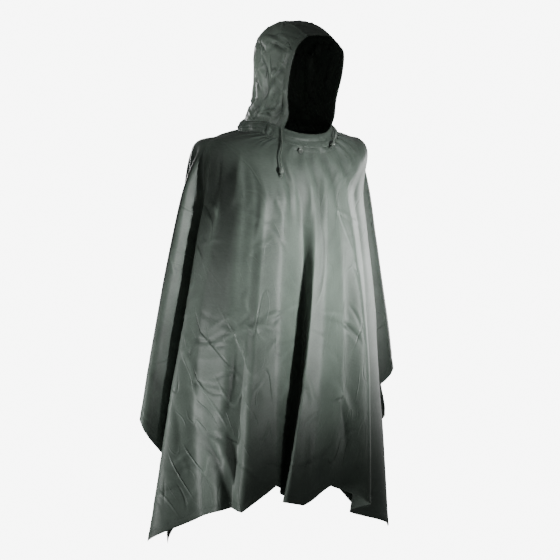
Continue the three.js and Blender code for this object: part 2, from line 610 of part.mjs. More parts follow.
// The barrel lock that the cord runs through, just above the knot
function cordLock(path) {
  const end = path[path.length - 1];
  const before = path[path.length - 4];
  const axis = before.clone().sub(end).normalize();
  const foot = end.clone().addScaledVector(axis, CORD.tail + CORD.knotLength + SEAM_GAP);
  const { radius, length, hole } = LOCK;
  const outline = [
    [hole, 0],
    [radius - 1.2, 0],
    [radius, 1.5],
    [radius, length - 4],
    [radius - 2, length - 1],
    [hole + 1, length],
    [hole, length],
    [hole, 0],
  ];
  return turned(outline, 16, foot, axis);
}

function pressStud(columns, normals) {
  const { point, normal } = onBody(columns, normals, STUD.turn, STUD.down);
  const { radius, rim, height } = STUD;
  const outline = [
    [0, 0],
    [radius, 0],
    [radius, rim],
    [radius * 0.8, height],
    [radius * 0.45, height],
    [0, height - 0.6],
  ];
  return turned(outline, 20, point.addScaledVector(normal, STUD.lift), normal);
}

// Colours and finishes of the real materials
const cloth = { color: 0x4d5850, roughness: 0.55, metalness: 0 };
const trim = { color: 0x3a443d, roughness: 0.6, metalness: 0 };
const plastic = { color: 0x7b857d, roughness: 0.4, metalness: 0 };
const metal = { color: 0x8b9089, roughness: 0.35, metalness: 0.9 };

const poncho = new THREE.Group();
function addPiece(name, geometry, finish) {
  const bare = geometry.clone();
  bare.deleteAttribute('normal');
  bare.deleteAttribute('uv');
  const mesh = new THREE.Mesh(mergeVertices(bare, 1e-4), new THREE.MeshStandardMaterial(finish));
  mesh.geometry.computeVertexNormals();
  mesh.name = name;
  poncho.add(mesh);
  return mesh;
}

const body = bodyColumns();
const bodyNormals = gridNormals(body, true);
const leftSeam = LEFT_ARM * COLUMNS_PER_FOLD;
addPiece('body_front', bodyHalf(body, bodyNormals, 0, leftSeam), cloth);
addPiece('body_back', bodyHalf(body, bodyNormals, leftSeam, body.length), cloth);
addPiece('neck_band', neckBand(), cloth);
addPiece('hood_right', hoodSide(-1), cloth);
addPiece('hood_left', hoodSide(1), cloth);
addPiece('hood_crown', hoodCrown(), cloth);
addPiece('neck_snap', pressStud(body, bodyNormals), metal);
CORDS.forEach((cord) => {
  const path = cordPath(body, bodyNormals, cord);
  addPiece(`drawcord_${cord.side}`, drawcord(path), trim);
  addPiece(`cord_lock_${cord.side}`, cordLock(path), plastic);
});

export default poncho;
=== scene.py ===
# %% [markdown]
# A hooded rain poncho in coated nylon, hanging as it is worn
#
# The imported CAD model comes in first, as a fixed frame: its panels are plain walls of the
# right shape, and every piece made here lies on one of them. This first cell loads it.

import math

import bmesh
import bpy
import numpy as np
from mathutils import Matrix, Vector


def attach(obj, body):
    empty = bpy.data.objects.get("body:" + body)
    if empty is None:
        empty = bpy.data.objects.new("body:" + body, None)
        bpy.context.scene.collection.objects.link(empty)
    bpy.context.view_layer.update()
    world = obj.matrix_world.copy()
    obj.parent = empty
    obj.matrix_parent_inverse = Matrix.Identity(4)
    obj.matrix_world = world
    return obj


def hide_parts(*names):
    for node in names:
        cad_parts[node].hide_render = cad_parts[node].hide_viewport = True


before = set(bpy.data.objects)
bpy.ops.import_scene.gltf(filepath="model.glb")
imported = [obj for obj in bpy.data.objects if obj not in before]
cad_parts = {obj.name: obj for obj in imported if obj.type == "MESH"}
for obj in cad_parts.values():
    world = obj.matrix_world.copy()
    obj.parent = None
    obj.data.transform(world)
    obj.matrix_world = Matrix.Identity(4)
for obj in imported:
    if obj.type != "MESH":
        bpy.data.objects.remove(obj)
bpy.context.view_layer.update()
MM = 0.001
print("nodes in the frame:", len(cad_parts))

# %% [markdown]
# The camera
#
# The photo was taken from the wearer's right front, nearly level, from several metres away,
# so folds on the far side are hardly smaller than near ones. A long lens at six metres gives
# that. The picture is square, and its middle lies at the waist.

# %% Camera
VIEW_AZIMUTH = math.radians(-35)
VIEW_ELEVATION = math.radians(1.5)
VIEW_DISTANCE = 6.0
SENSOR_MM = 36
PICTURE_WIDTH = 1.484  # metres across at the poncho
PICTURE_CENTRE = (-0.0212, -0.39)  # metres right of and above the origin, as the camera sees it


def add_object(name, data):
    """An object with this data, in the scene."""
    obj = bpy.data.objects.new(name, data)
    bpy.context.collection.objects.link(obj)
    return obj


look_along = Vector((
    -math.sin(VIEW_AZIMUTH) * math.cos(VIEW_ELEVATION),
    math.cos(VIEW_AZIMUTH) * math.cos(VIEW_ELEVATION),
    -math.sin(VIEW_ELEVATION),
))
picture_right = Vector((math.cos(VIEW_AZIMUTH), math.sin(VIEW_AZIMUTH), 0))
picture_up = picture_right.cross(look_along)
aim = picture_right * PICTURE_CENTRE[0] + picture_up * PICTURE_CENTRE[1]

camera_data = bpy.data.cameras.new("camera")
camera_data.sensor_width = SENSOR_MM
camera_data.lens = SENSOR_MM * VIEW_DISTANCE / PICTURE_WIDTH
camera_data.clip_end = 50
camera = add_object("camera", camera_data)
camera.location = aim - look_along * VIEW_DISTANCE
camera.rotation_euler = look_along.to_track_quat("-Z", "Y").to_euler()
bpy.context.scene.camera = camera
print("lens:", round(camera_data.lens, 1), "mm")

# %% [markdown]
# Light and floor
#
# Folds in dull cloth show only by light that grazes them. In the photo the chest is bright, and
# the folds and the hem are near black. So a soft lamp with a narrow beam, as from a grid in front
# of it, stands at the camera's right at waist height and aims at the wearer's left front. Two
# weak ones at the camera's left, narrow too, light the hood and the long side. Two more stand
# behind, for a look at the back, which the photo doesn't show.

# %% Light and floor
def soft_lamp(name, place, size, watts, beam, aim_height):
    """A square area lamp at a place (right, up, towards the camera) in metres."""
    data = bpy.data.lights.new(name, "AREA")
    data.energy = watts
    data.size = size
    data.spread = math.radians(beam)
    lamp = add_object(name, data)
    lamp.location = picture_right * place[0] + Vector((0, 0, place[1])) - look_along * place[2]
    toward = Vector((0, 0, aim_height)) - lamp.location
    lamp.rotation_euler = toward.to_track_quat("-Z", "Y").to_euler()


soft_lamp("key_lamp", (2.0, -0.6, 1.5), 0.5, 2.4, 17, -0.33)
soft_lamp("hood_lamp", (-1.75, -0.05, 1.35), 0.22, 0.19, 10, 0.16)
soft_lamp("side_lamp", (-1.9, -1.0, 0.9), 0.6, 1.35, 24, -0.66)
soft_lamp("back_lamp_left", (-1.3, 0.0, -2.0), 0.8, 3.0, 44, -0.4)
soft_lamp("back_lamp_right", (1.5, -0.2, -1.8), 0.8, 2.0, 44, -0.4)

FLOOR_Z, FLOOR_RADIUS = -1.5, 2.3
bpy.ops.mesh.primitive_circle_add(
    vertices=96, radius=FLOOR_RADIUS, fill_type="NGON", location=(0, 0, FLOOR_Z))
floor = bpy.context.object
floor.name = "floor"
print("floor at", FLOOR_Z, "m")

# %% [markdown]
# Colours and shader nodes
#
# Paint and cloth colours are read off a screen as sRGB hex values, but shaders add light in
# linear values, so one function converts them. A second small function adds a node with its
# settings and links, which keeps each material readable as a list of steps. The maths settings
# that most of them use have a name too.

# %% Shader helpers
TIMES, TIMES_PLUS, MINUS = ({"operation": word} for word in ("MULTIPLY", "MULTIPLY_ADD", "SUBTRACT"))
COLOUR = {"data_type": "RGBA"}


def linear(hex_colour):
    """An sRGB hex colour as linear red, green, blue and alpha."""
    parts = [int(hex_colour[i:i + 2], 16) / 255 for i in (1, 3, 5)]
    return tuple(c / 12.92 if c <= 0.04045 else ((c + 0.055) / 1.055) ** 2.4 for c in parts) + (1.0,)


def add_node(tree, kind, settings=None, **inputs):
    """Adds a node. Each input, named or as n and its number, gets a value, a node or its output."""
    node = tree.nodes.new(kind)
    for name, value in (settings or {}).items():
        setattr(node, name, value)
    for name, value in inputs.items():
        numbered = name[0] == "n" and name[1:].isdigit()
        socket = node.inputs[int(name[1:]) if numbered else name.replace("_", " ")]
        if isinstance(value, bpy.types.Node):
            value = value.outputs[0]
        if isinstance(value, bpy.types.NodeSocket):
            tree.links.new(value, socket)
        else:
            socket.default_value = value
    return node


def new_material(name):
    """An empty material and its tree."""
    material = bpy.data.materials.new(name)
    material.use_nodes = True
    material.node_tree.nodes.clear()
    return material, material.node_tree


def finish_surface(tree, shader):
    output = tree.nodes.new("ShaderNodeOutputMaterial")
    tree.links.new(shader.outputs[0], output.inputs["Surface"])


print("cloth grey-green in linear light:", [round(c, 3) for c in linear("#6d7970")])

# %% [markdown]
# Paper and surround
#
# The floor is matt seamless paper, nearly white and without shine, under an even surround. Both
# are as pale as the photo's background where the camera sees them. As light on the cloth they
# are dim, because an even light would fill the dark folds.

# %% Floor paper and surround
FLOOR_GLOW = 4.0
SURROUND_LIGHT, SURROUND_SEEN = 0.1, 8.0


def strength_where_seen(tree, seen, otherwise):
    """One strength for what the camera sees, and another for all other light."""
    camera_ray = add_node(tree, "ShaderNodeLightPath").outputs["Is Camera Ray"]
    return add_node(tree, "ShaderNodeMapRange", Value=camera_ray, To_Min=otherwise, To_Max=seen)


paper, tree = new_material("matt_seamless_paper")
finish_surface(tree, add_node(
    tree, "ShaderNodeBsdfPrincipled", Base_Color=linear("#eceeec"), Roughness=0.95,
    Emission_Color=linear("#f4f6f4"), Emission_Strength=strength_where_seen(tree, FLOOR_GLOW, 0.0),
))
floor.data.materials.append(paper)

world = bpy.data.worlds.new("studio_surround")
world.use_nodes = True
tree = world.node_tree
tree.nodes.clear()
surround = add_node(
    tree, "ShaderNodeBackground", Color=linear("#fbfcfb"),
    Strength=strength_where_seen(tree, SURROUND_SEEN, SURROUND_LIGHT),
)
world_output = tree.nodes.new("ShaderNodeOutputWorld")
tree.links.new(surround.outputs[0], world_output.inputs["Surface"])
bpy.context.scene.world = world
print("surround strength:", SURROUND_LIGHT, "and", SURROUND_SEEN, "where seen")

# %% [markdown]
# The cloth: polyurethane-coated nylon taffeta
#
# Taffeta is a plain weave of fine flat threads, about 0.2 mm apart. The coating on its back
# makes it rustle, hold small sharp creases and shine a little, like thin paper. Up close three
# things show: the thread grid, fine creases, and a soft uneven sheen. The thread grid is drawn
# at 1.4 mm, because at its real spacing no pixel could show it. The creases are thin lines where
# a noise drawn out one way passes its middle value, in three directions, and the attribute
# "crinkle" says where the cloth was crushed most. These lines also tint the colour: a painted
# highlight on their ridges and painted shade in their troughs. The crest attribute is high on the
# drape's ridges and low in its troughs. It makes the ridges paler, partly as rubbed coating and
# partly as a painted highlight, and it darkens the troughs as painted shade. All patterns read the
# piece's own UV map, its place on the flat cut in metres.

# %% Coated nylon taffeta
THREAD_SPACING = 1.4  # mm
CREASE_THINNESS = 0.022  # how far from the noise's middle value a line reaches


def crease_lines(tree, cut, spacing_mm, turn, drawn_out, shift):
    """Thin straightish creases: 1 along their lines, and 0 on the flat cloth between."""
    placed = add_node(
        tree, "ShaderNodeMapping", Vector=cut, Location=(shift, shift * 0.6, 0),
        Rotation=(0, 0, math.radians(turn)), Scale=(1, drawn_out, 1),
    )
    field = add_node(tree, "ShaderNodeTexNoise", Vector=placed, Scale=1 / (spacing_mm * MM), Detail=0.0)
    off = add_node(tree, "ShaderNodeMath", MINUS, n0=field, n1=0.5)
    gap = add_node(tree, "ShaderNodeMath", {"operation": "ABSOLUTE"}, n0=off)
    line = add_node(
        tree, "ShaderNodeMapRange", Value=gap, From_Max=CREASE_THINNESS, To_Min=1.0, To_Max=0.0)
    patches = add_node(
        tree, "ShaderNodeTexNoise", Vector=cut, Scale=1 / (1.7 * spacing_mm * MM), Detail=0.0)
    where = add_node(tree, "ShaderNodeMapRange", Value=patches, From_Min=0.5, From_Max=0.66)
    return add_node(tree, "ShaderNodeMath", TIMES, n0=line, n1=where)


def coated_taffeta(name, base, lit, wrinkle_mm, wrinkle_height, roughness):
    material, tree = new_material(name)
    cut = add_node(tree, "ShaderNodeUVMap", {"uv_map": "cut"})
    crushed, crest_wear_and_painted_light = (
        add_node(tree, "ShaderNodeAttribute", {"attribute_name": label}).outputs["Fac"]
        for label in ("crinkle", "crest_wear_and_painted_light")
    )

    # creases: thin ridges and troughs on flat cloth, and a soft unevenness everywhere
    ridges = crease_lines(tree, cut, wrinkle_mm, 24, 0.3, 0.31)
    troughs = crease_lines(tree, cut, wrinkle_mm * 0.8, -38, 0.35, 1.7)
    fine = crease_lines(tree, cut, wrinkle_mm * 0.5, 75, 0.4, 2.9)
    lines = add_node(tree, "ShaderNodeMath", MINUS, n0=ridges, n1=troughs)
    lines = add_node(tree, "ShaderNodeMath", TIMES_PLUS, n0=fine, n1=0.5, n2=lines)
    creased = add_node(tree, "ShaderNodeMath", TIMES, n0=lines, n1=crushed)
    soft = add_node(
        tree, "ShaderNodeTexNoise", Vector=cut, Scale=1 / (1.6 * wrinkle_mm * MM),
        Detail=3.0, Roughness=0.55,
    )
    relief = add_node(tree, "ShaderNodeMath", TIMES_PLUS, n0=soft, n1=1.2, n2=creased)

    # thread grid
    warp, weft = (
        add_node(
            tree, "ShaderNodeTexWave", {"bands_direction": direction}, Vector=cut,
            Scale=1 / (2 * math.pi * THREAD_SPACING * MM), Distortion=0.4,
        ).outputs["Fac"]
        for direction in "XY"
    )
    threads = add_node(tree, "ShaderNodeMath", TIMES, n0=warp, n1=weft)
    thread_bump = add_node(tree, "ShaderNodeBump", Strength=0.12, Distance=0.0002, Height=threads)
    bump = add_node(
        tree, "ShaderNodeBump", Strength=0.8, Distance=wrinkle_height, Height=relief, Normal=thread_bump)

    # uneven colour and sheen: random mottle and grain, plus a painted highlight on crease ridges and crests
    # and painted shade in their troughs
    mottle = add_node(tree, "ShaderNodeTexNoise", Vector=cut, Scale=9.0, Detail=4.0, Roughness=0.6)
    grain = add_node(
        tree, "ShaderNodeTexNoise", Vector=cut, Scale=1 / (5.0 * MM), Detail=2.0, Roughness=0.7)
    # painted light: crease lines make their ridges paler (painted highlight) and their troughs darker
    # (painted shade), over the random mottle
    crease_painted_light_and_mottle = add_node(tree, "ShaderNodeMath", TIMES_PLUS, n0=creased, n1=0.35, n2=mottle)
    # the crest attribute adds rubbed coating and a painted highlight on the drape's ridges, and painted
    # shade in its troughs
    with_wear_and_painted_light = add_node(tree, "ShaderNodeMath", TIMES_PLUS, n0=crest_wear_and_painted_light, n1=0.3, n2=crease_painted_light_and_mottle)
    grainy = add_node(tree, "ShaderNodeMath", TIMES_PLUS, n0=grain, n1=0.5, n2=with_wear_and_painted_light)
    level = add_node(tree, "ShaderNodeMath", {**MINUS, "use_clamp": True}, n0=grainy, n1=0.25)
    tone = add_node(tree, "ShaderNodeMix", COLOUR, n0=level, n6=linear(base), n7=linear(lit))
    gloss = add_node(
        tree, "ShaderNodeMapRange", Value=mottle, To_Min=roughness + 0.06, To_Max=roughness - 0.06)
    finish_surface(tree, add_node(
        tree, "ShaderNodeBsdfPrincipled", Base_Color=tone.outputs[2], Roughness=gloss, Normal=bump,
        Specular_IOR_Level=0.42, Sheen_Weight=0.06, Sheen_Roughness=0.5,
    ))
    return material


BODY_CLOTH = coated_taffeta("pu_coated_nylon_taffeta", "#414c44", "#6d7970", 80, 0.0016, 0.52)
HOOD_CLOTH = coated_taffeta("pu_coated_nylon_taffeta_crushed", "#3b453e", "#6b776d", 44, 0.0024, 0.52)
print("cloth materials:", BODY_CLOTH.name, HOOD_CLOTH.name)

# %% [markdown]
# The cut and how it hangs
#
# The poncho's body is one rectangle with a hole for the neck, so its drape follows simple
# rules: it lies over the shoulders in rings, and below the chest it hangs in folds. These are
# the same tables as in the part's source, in millimetres. Each fold line says where it meets
# the edge of the cut and where it passes three heights.

# %% The cut, the rings of the yoke and the fold lines
CUT_WIDTH, CUT_LENGTH = 1450, 2000
SHOULDER_REACH, SHOULDER_Z, HANG = 240, -25, 0.9325
WALL, SEAM_GAP, LAP_GAP = 2, 0.4, 0.4
CHEST_Z, WAIST_Z, HEM_Z = -180, -450, -1000
FOLD_ROUNDNESS = 0.85
RING_SQUARENESS = 0.8
LEFT_RAISE = 8

# half width, front, back, line, height at front, side and back
YOKE = {
    "neck seam": (124, 118, 120, 0, -43, 4, 18),
    "yoke": (190, 148, 122, 25, -66, -6, -14),
    "shoulder": (250, 182, 122, 48, -105, -33, -75),
}
HOOD_SEAM = (105, 105, 113, 0, -7, 32, 50)

# fold line: edge, chest, waist, hem, lift
FOLDS = {
    "right arm": (0, (-262, 88), (-312, 108), (-345, 126), 0),
    "right arm front valley": (330, (-230, 74), (-244, 92), (-270, 112), 0),
    "right front wing": (600, (-302, 56), (-356, 76), (-432, 102), -4),
    "right inner valley": (840, (-236, 40), (-238, 58), (-290, 112), 0),
    "right front corner": (1010, (-252, 16), (-296, 36), (-375, 84), -8),
    "right thigh valley": (1150, (-236, -30), (-268, 0), (-288, -14), 10),
    "right thigh ridge": (1245, (-204, -92), (-226, -88), (-278, -88), 8),
    "right knee valley": (1290, (-180, -110), (-200, -106), (-248, -94), 6),
    "right knee ridge": (1345, (-158, -128), (-182, -126), (-240, -132), -12),
    "right centre ridge": (1455, (-112, -142), (-136, -144), (-136, -143), 42),
    "centre valley": (1580, (-57, -134), (-34, -118), (-77, -68), 6),
    "centre lap": (1725, (-10, -144), (-35, -159), (-134, -172), 0),
    "centre panel": (1795, (18, -148), (0, -165), (-84, -176), -10),
    "left knee valley": (1930, (62, -136), (84, -132), (34, -128), 28),
    "left knee ridge": (2120, (100, -128), (136, -144), (143, -167), -8),
    "left thigh valley": (2290, (160, -86), (200, -78), (174, -42), -10),
    "left front corner": (2435, (262, 20), (304, 36), (352, 30), -20),
    "left inner valley": (2680, (238, 32), (246, 42), (258, 80), 90),
    "left front wing": (2990, (312, 48), (370, 60), (450, 82), 20),
    "left arm front valley": (3240, (232, 64), (246, 78), (262, 96), 0),
    "left arm": (3450, (266, 80), (312, 96), (342, 112), 0),
    "left arm back valley": (3690, (226, 96), (246, 110), (262, 122), 0),
    "left back wing": (4097, (290, 112), (350, 118), (450, 104), 0),
    "left outer valley": (4290, (230, 136), (250, 150), (304, 150), 10),
    "left back corner": (4460, (240, 164), (290, 186), (372, 198), 14),
    "left hip valley": (4600, (198, 168), (228, 176), (286, 168), 36),
    "left hip ridge": (4755, (152, 192), (180, 228), (224, 286), 24),
    "left seat valley": (4885, (98, 186), (110, 196), (128, 204), 20),
    "left seat ridge": (5025, (46, 204), (52, 244), (62, 310), 12),
    "back valley": (5155, (-8, 194), (-18, 202), (-24, 214), 12),
    "right seat ridge": (5295, (-64, 202), (-78, 240), (-88, 304), 8),
    "right seat valley": (5435, (-116, 182), (-132, 190), (-144, 196), 0),
    "right hip ridge": (5575, (-160, 186), (-184, 220), (-196, 276), 0),
    "right hip valley": (5735, (-196, 164), (-214, 174), (-216, 176), 0),
    "right back corner": (5890, (-230, 156), (-262, 182), (-266, 194), -36),
    "right outer valley": (6050, (-218, 136), (-240, 156), (-256, 154), 0),
    "right back wing": (6202, (-256, 120), (-296, 136), (-304, 124), 30),
    "right arm back valley": (6560, (-222, 102), (-240, 120), (-262, 128), 0),
}
LINES = list(FOLDS.values())
LEFT_ARM = list(FOLDS).index("left arm")
print("fold lines:", len(LINES))

# %% [markdown]
# Working out the drape
#
# Every column of the body runs from the neck seam to the hem. Above the chest it is one smooth
# curve through the rings, and below it follows the fold lines, with a Hermite curve from each
# fold to the next, which gives round ridges and valleys. How low a column ends follows from
# how long the cloth is there on the cut. Here the same rules are sampled far more finely than in
# the solid, so that small creases can be added.

# %% The drape's rules
def point_on_cut(edge):
    """A point on the edge of the cut, edge mm round it from the middle of the right side."""
    half_w, half_l = CUT_WIDTH / 2, CUT_LENGTH / 2
    edge = edge % (2 * (CUT_WIDTH + CUT_LENGTH))
    if edge < half_l:
        return -half_w, -edge
    if edge < half_l + CUT_WIDTH:
        return edge - half_l - half_w, -half_l
    if edge < 3 * half_l + CUT_WIDTH:
        return half_w, edge - CUT_WIDTH - 2 * half_l
    if edge < 3 * half_l + 2 * CUT_WIDTH:
        return half_w + 3 * half_l + CUT_WIDTH - edge, half_l
    return -half_w, 2 * CUT_LENGTH + 2 * CUT_WIDTH - edge


def on_ring(ring, turn):
    half_width, front, back, line, z_front, z_side, z_back = ring
    side, ahead = math.sin(turn), math.cos(turn)
    power = lambda value: math.copysign(abs(value) ** RING_SQUARENESS, value)
    depth, z_end = (front, z_front) if ahead > 0 else (back, z_back)
    raised = z_side + LEFT_RAISE * half_width * side / SHOULDER_REACH
    z = raised + (z_end - raised) * ahead * ahead
    return np.array((half_width * power(side), line - depth * power(ahead), z))


def through_points(points, t):
    """Catmull-Rom curve through points, from the second to the one before the last, at each t."""
    points, t = np.asarray(points, float), np.atleast_1d(t)
    last = len(points) - 3
    i = np.minimum((t * last).astype(int), last - 1)
    u = (t * last - i)[:, None]
    a, b, c, d = points[i], points[i + 1], points[i + 2], points[i + 3]
    return (
        a * (-u + 2 * u**2 - u**3) + b * (2 - 5 * u**2 + 3 * u**3)
        + c * (u + 4 * u**2 - 3 * u**3) + d * (u**3 - u**2)
    ) / 2


def distance_along(points):
    """How far along a line each of its points is."""
    return np.concatenate(([0], np.cumsum(np.linalg.norm(np.diff(points, axis=0), axis=1))))


def at_distance(points, run, distance):
    """Where a line is at one distance along it, or at several."""
    return np.stack([np.interp(distance, run, points[:, k]) for k in range(3)], -1)


def fold_at(fold, z):
    """Where a fold line passes each height."""
    z = np.atleast_1d(z).astype(float)
    a, b, c = (np.array(place, float) for place in fold[1:4])
    first = (b - a) / (WAIST_Z - CHEST_Z)
    second = ((c - b) / (HEM_Z - WAIST_Z) - first) / (HEM_Z - CHEST_Z)
    xy = a + first * (z - CHEST_Z)[:, None] + second * ((z - CHEST_Z) * (z - WAIST_Z))[:, None]
    return np.column_stack((xy, z))


def round_the_body(points):
    out_x, out_y = points[:, 0] / 340**2, (points[:, 1] - 60) / 200**2
    around = np.column_stack((-out_y, out_x, np.zeros(len(points))))
    return around / np.linalg.norm(around, axis=1)[:, None]


def hanging(start, end, share, z):
    """Points of the hanging cloth, a share of the way from one fold line to the next."""
    a, b = fold_at(start, z), fold_at(end, z)
    pull = FOLD_ROUNDNESS * np.linalg.norm(b - a, axis=1)[:, None]
    s2, s3 = share**2, share**3
    return (
        a * (2 * s3 - 3 * s2 + 1) + round_the_body(a) * pull * (s3 - 2 * s2 + share)
        + b * (3 * s2 - 2 * s3) + round_the_body(b) * pull * (s3 - s2)
    )


def span_end(index):
    """Where on the edge of the cut the cloth after a fold line gives way to the next fold."""
    return LINES[index + 1][0] if index + 1 < len(LINES) else 2 * (CUT_WIDTH + CUT_LENGTH)


def body_column(index, share, yoke_rows, hang_rows):
    """One column of the body, its points on the cut, and how far round the neck it starts."""
    start, end = LINES[index], LINES[(index + 1) % len(LINES)]
    cut_x, cut_y = point_on_cut(start[0] + (span_end(index) - start[0]) * share)
    neck_turn = math.atan2(3 * cut_x, -cut_y)
    chest = hanging(start, end, share, CHEST_Z)[0]
    ring = YOKE["shoulder"]
    chest_turn = math.atan2(chest[0] / ring[0], (ring[3] - chest[1]) / ring[1])
    swing = math.atan2(math.sin(chest_turn - neck_turn), math.cos(chest_turn - neck_turn))
    rings = [on_ring(r, neck_turn + swing * k / len(YOKE)) for k, r in enumerate(YOKE.values())]
    falling = hanging(start, end, share, CHEST_Z - 10)[0] - chest
    after = rings[2] + falling * 2 * np.linalg.norm(chest - rings[2]) / np.linalg.norm(falling)
    path = [2 * rings[0] - rings[1], *rings, chest, after]
    upper = through_points(path, np.linspace(0, 1, yoke_rows + 1) ** 1.3)
    start_x = max(-SHOULDER_REACH, min(SHOULDER_REACH, cut_x))
    lift = start[4] + (end[4] - start[4]) * share
    end_z = SHOULDER_Z - HANG * math.hypot(cut_x - start_x, cut_y) + lift
    lower = hanging(start, end, share, np.linspace(CHEST_Z, end_z, hang_rows + 1)[1:])
    column = np.vstack((upper, lower))
    run = distance_along(column)
    reach = run / run[-1]
    neck_x, neck_y = start_x * 0.5, -math.cos(neck_turn) * 118
    cut = np.column_stack((neck_x + (cut_x - neck_x) * reach, neck_y + (cut_y - neck_y) * reach))
    return column, cut, run, neck_turn


print("lowest corner:", round(body_column(3, 1.0, 6, 9)[0][-1][2]), "mm")

# %% [markdown]
# A sheet of cloth as a grid
#
# Each panel is a grid of columns and rows. From it come the outward normals, which creases
# and hems need to move the cloth in or out, and a thin closed shell. Real nylon is 0.15 mm
# thick, but a shell that thin shimmers in a render, so it is 0.8 mm.

# %% Grid helpers
CLOTH_THICKNESS = 0.8


def grid_normals(grid, closed=False):
    """Outward normals of a (columns, rows, 3) grid, from the right round by the front, and down."""
    if closed:
        across = np.roll(grid, -1, 0) - np.roll(grid, 1, 0)
    else:
        across = np.gradient(grid, axis=0)
    down = np.gradient(grid, axis=1)
    normal = np.cross(down, across)
    return normal / np.maximum(np.linalg.norm(normal, axis=2), 1e-9)[..., None]


def cloth_shell(name, grid, cut, crinkle, crest_wear_and_painted_light, material, closed=False):
    """A thin closed shell on a grid in mm, with its place on the flat cut as the UV map."""
    columns, rows = grid.shape[:2]
    shift = columns * rows  # from a point on the outside to the one behind it
    out = grid_normals(grid, closed) * CLOTH_THICKNESS / 2
    points = np.vstack([side.reshape(-1, 3) for side in (grid + out, grid - out)]) * MM
    last = columns if closed else columns - 1
    at = lambda column, row: (column % columns) * rows + row
    j, i = np.meshgrid(np.arange(last), np.arange(rows - 1), indexing="ij")
    outer = np.stack((at(j, i), at(j, i + 1), at(j + 1, i + 1), at(j + 1, i)), -1).reshape(-1, 4)
    step = np.arange(last)
    top, bottom = at(step, 0), at(step, rows - 1)
    top_next, bottom_next = at(step + 1, 0), at(step + 1, rows - 1)
    faces = [
        outer,
        outer[:, ::-1] + shift,
        np.stack((top, top_next, top_next + shift, top + shift), -1),
        np.stack((bottom, bottom + shift, bottom_next + shift, bottom_next), -1),
    ]
    if not closed:
        left = np.arange(rows - 1)
        right = left + (columns - 1) * rows
        faces.append(np.stack((left, left + shift, left + 1 + shift, left + 1), -1))
        faces.append(np.stack((right, right + 1, right + 1 + shift, right + shift), -1))
    faces = np.vstack(faces)
    mesh = bpy.data.meshes.new(name)
    mesh.from_pydata(points.tolist(), [], faces.tolist())
    mesh.polygons.foreach_set("use_smooth", np.ones(len(faces), bool))
    place = np.tile(cut.reshape(-1, 2), (2, 1)) * MM
    corner = np.empty(len(mesh.loops), int)
    mesh.loops.foreach_get("vertex_index", corner)
    mesh.uv_layers.new(name="cut").data.foreach_set("uv", place[corner].ravel())
    for label, values in (("crinkle", crinkle), ("crest_wear_and_painted_light", crest_wear_and_painted_light)):
        strength = mesh.attributes.new(label, "FLOAT", "POINT")
        strength.data.foreach_set("value", np.tile(np.broadcast_to(values, grid.shape[:2]).ravel(), 2))
    mesh.materials.append(material)
    print(name, len(faces) * 2, "triangles")
    return add_object(name, mesh)


# %% [markdown]
# Creases and sewn edges
#
# A crease in thin coated cloth is a narrow ridge or trough with a sharp top. It starts softly,
# is deepest in the middle and runs out again. Each one is a line as seen from the picture's side
# or from behind: it starts and ends at so many millimetres right of and above the origin. Depth
# is how far it moves the cloth, inwards if negative. A hem or a casing is cloth laid double: it
# stands proud up to a step, and its stitches pull it in along a line.

# %% Crease tools
LATTICE = 160  # cells of noise before it repeats
def seen_from(grid, azimuth):
    """Millimetres right of and above the origin, as seen from a side."""
    turn = math.radians(azimuth)
    return np.stack((grid[..., 0] * math.cos(turn) + grid[..., 1] * math.sin(turn), grid[..., 2]), -1)


def facing(normal, azimuth):
    """1 where the cloth faces that side, and 0 where it looks away."""
    turn = math.radians(azimuth)
    toward = normal[..., 0] * math.sin(turn) - normal[..., 1] * math.cos(turn)
    return np.clip(toward * 4 + 0.6, 0, 1)


def crease_relief(places, creases):
    """How far each crease moves the cloth at each place, and how crushed the cloth is there."""
    relief, crushed = np.zeros(places.shape[:2]), np.zeros(places.shape[:2])
    for start, end, depth, width in creases:
        start, run = np.array(start, float), np.subtract(end, start).astype(float)
        offset = places - start
        share = np.clip((offset @ run) / (run @ run), 0, 1)
        bow = 0.06 * np.linalg.norm(run) * np.sin(np.pi * share)
        side = np.array((-run[1], run[0])) / np.linalg.norm(run)
        gap = np.linalg.norm(offset - share[..., None] * run - bow[..., None] * side, axis=-1) / width
        ends = np.sin(np.pi * np.clip(share, 0.02, 0.98)) ** 0.6
        sharp = np.exp(-1.3 * np.sqrt(gap**2 + 0.02)) * 1.4 - 0.3 * np.exp(-((gap - 1.8) ** 2))
        relief += depth * ends * sharp
        crushed += 0.5 * ends * np.exp(-((gap / 2.5) ** 2))
    return relief, crushed


def sewn_edge(gap, height, step, softness, dip, stitches, width):
    """Cloth laid double along an edge, a gap away: proud up to a step, with a dip at its stitches."""
    return height / (1 + np.exp((gap - step) / softness)) - dip * np.exp(-(((gap - stitches) / width) ** 2))


def soft_noise(cut, size, seed):
    """Smooth noise from -1 to 1 on the flat cut, with bumps about size mm across."""
    random = np.random.default_rng(seed)
    lattice = random.uniform(-1, 1, (LATTICE, LATTICE))
    x, y = cut[..., 0] / size + 70, cut[..., 1] / size + 70
    i, j = np.floor(x).astype(int), np.floor(y).astype(int)
    u, v = x - i, y - j
    u, v = u * u * (3 - 2 * u), v * v * (3 - 2 * v)
    at = lambda a, b: lattice[a % LATTICE, b % LATTICE]
    here, beyond = (at(i, row) * (1 - u) + at(i + 1, row) * u for row in (j, j + 1))
    return here * (1 - v) + beyond * v


def layered_noise(cut, layers, seed):
    """Soft noise in layers, each with its height and the size of its bumps in mm."""
    return sum(height * soft_noise(cut, size, seed + k) for k, (height, size) in enumerate(layers))


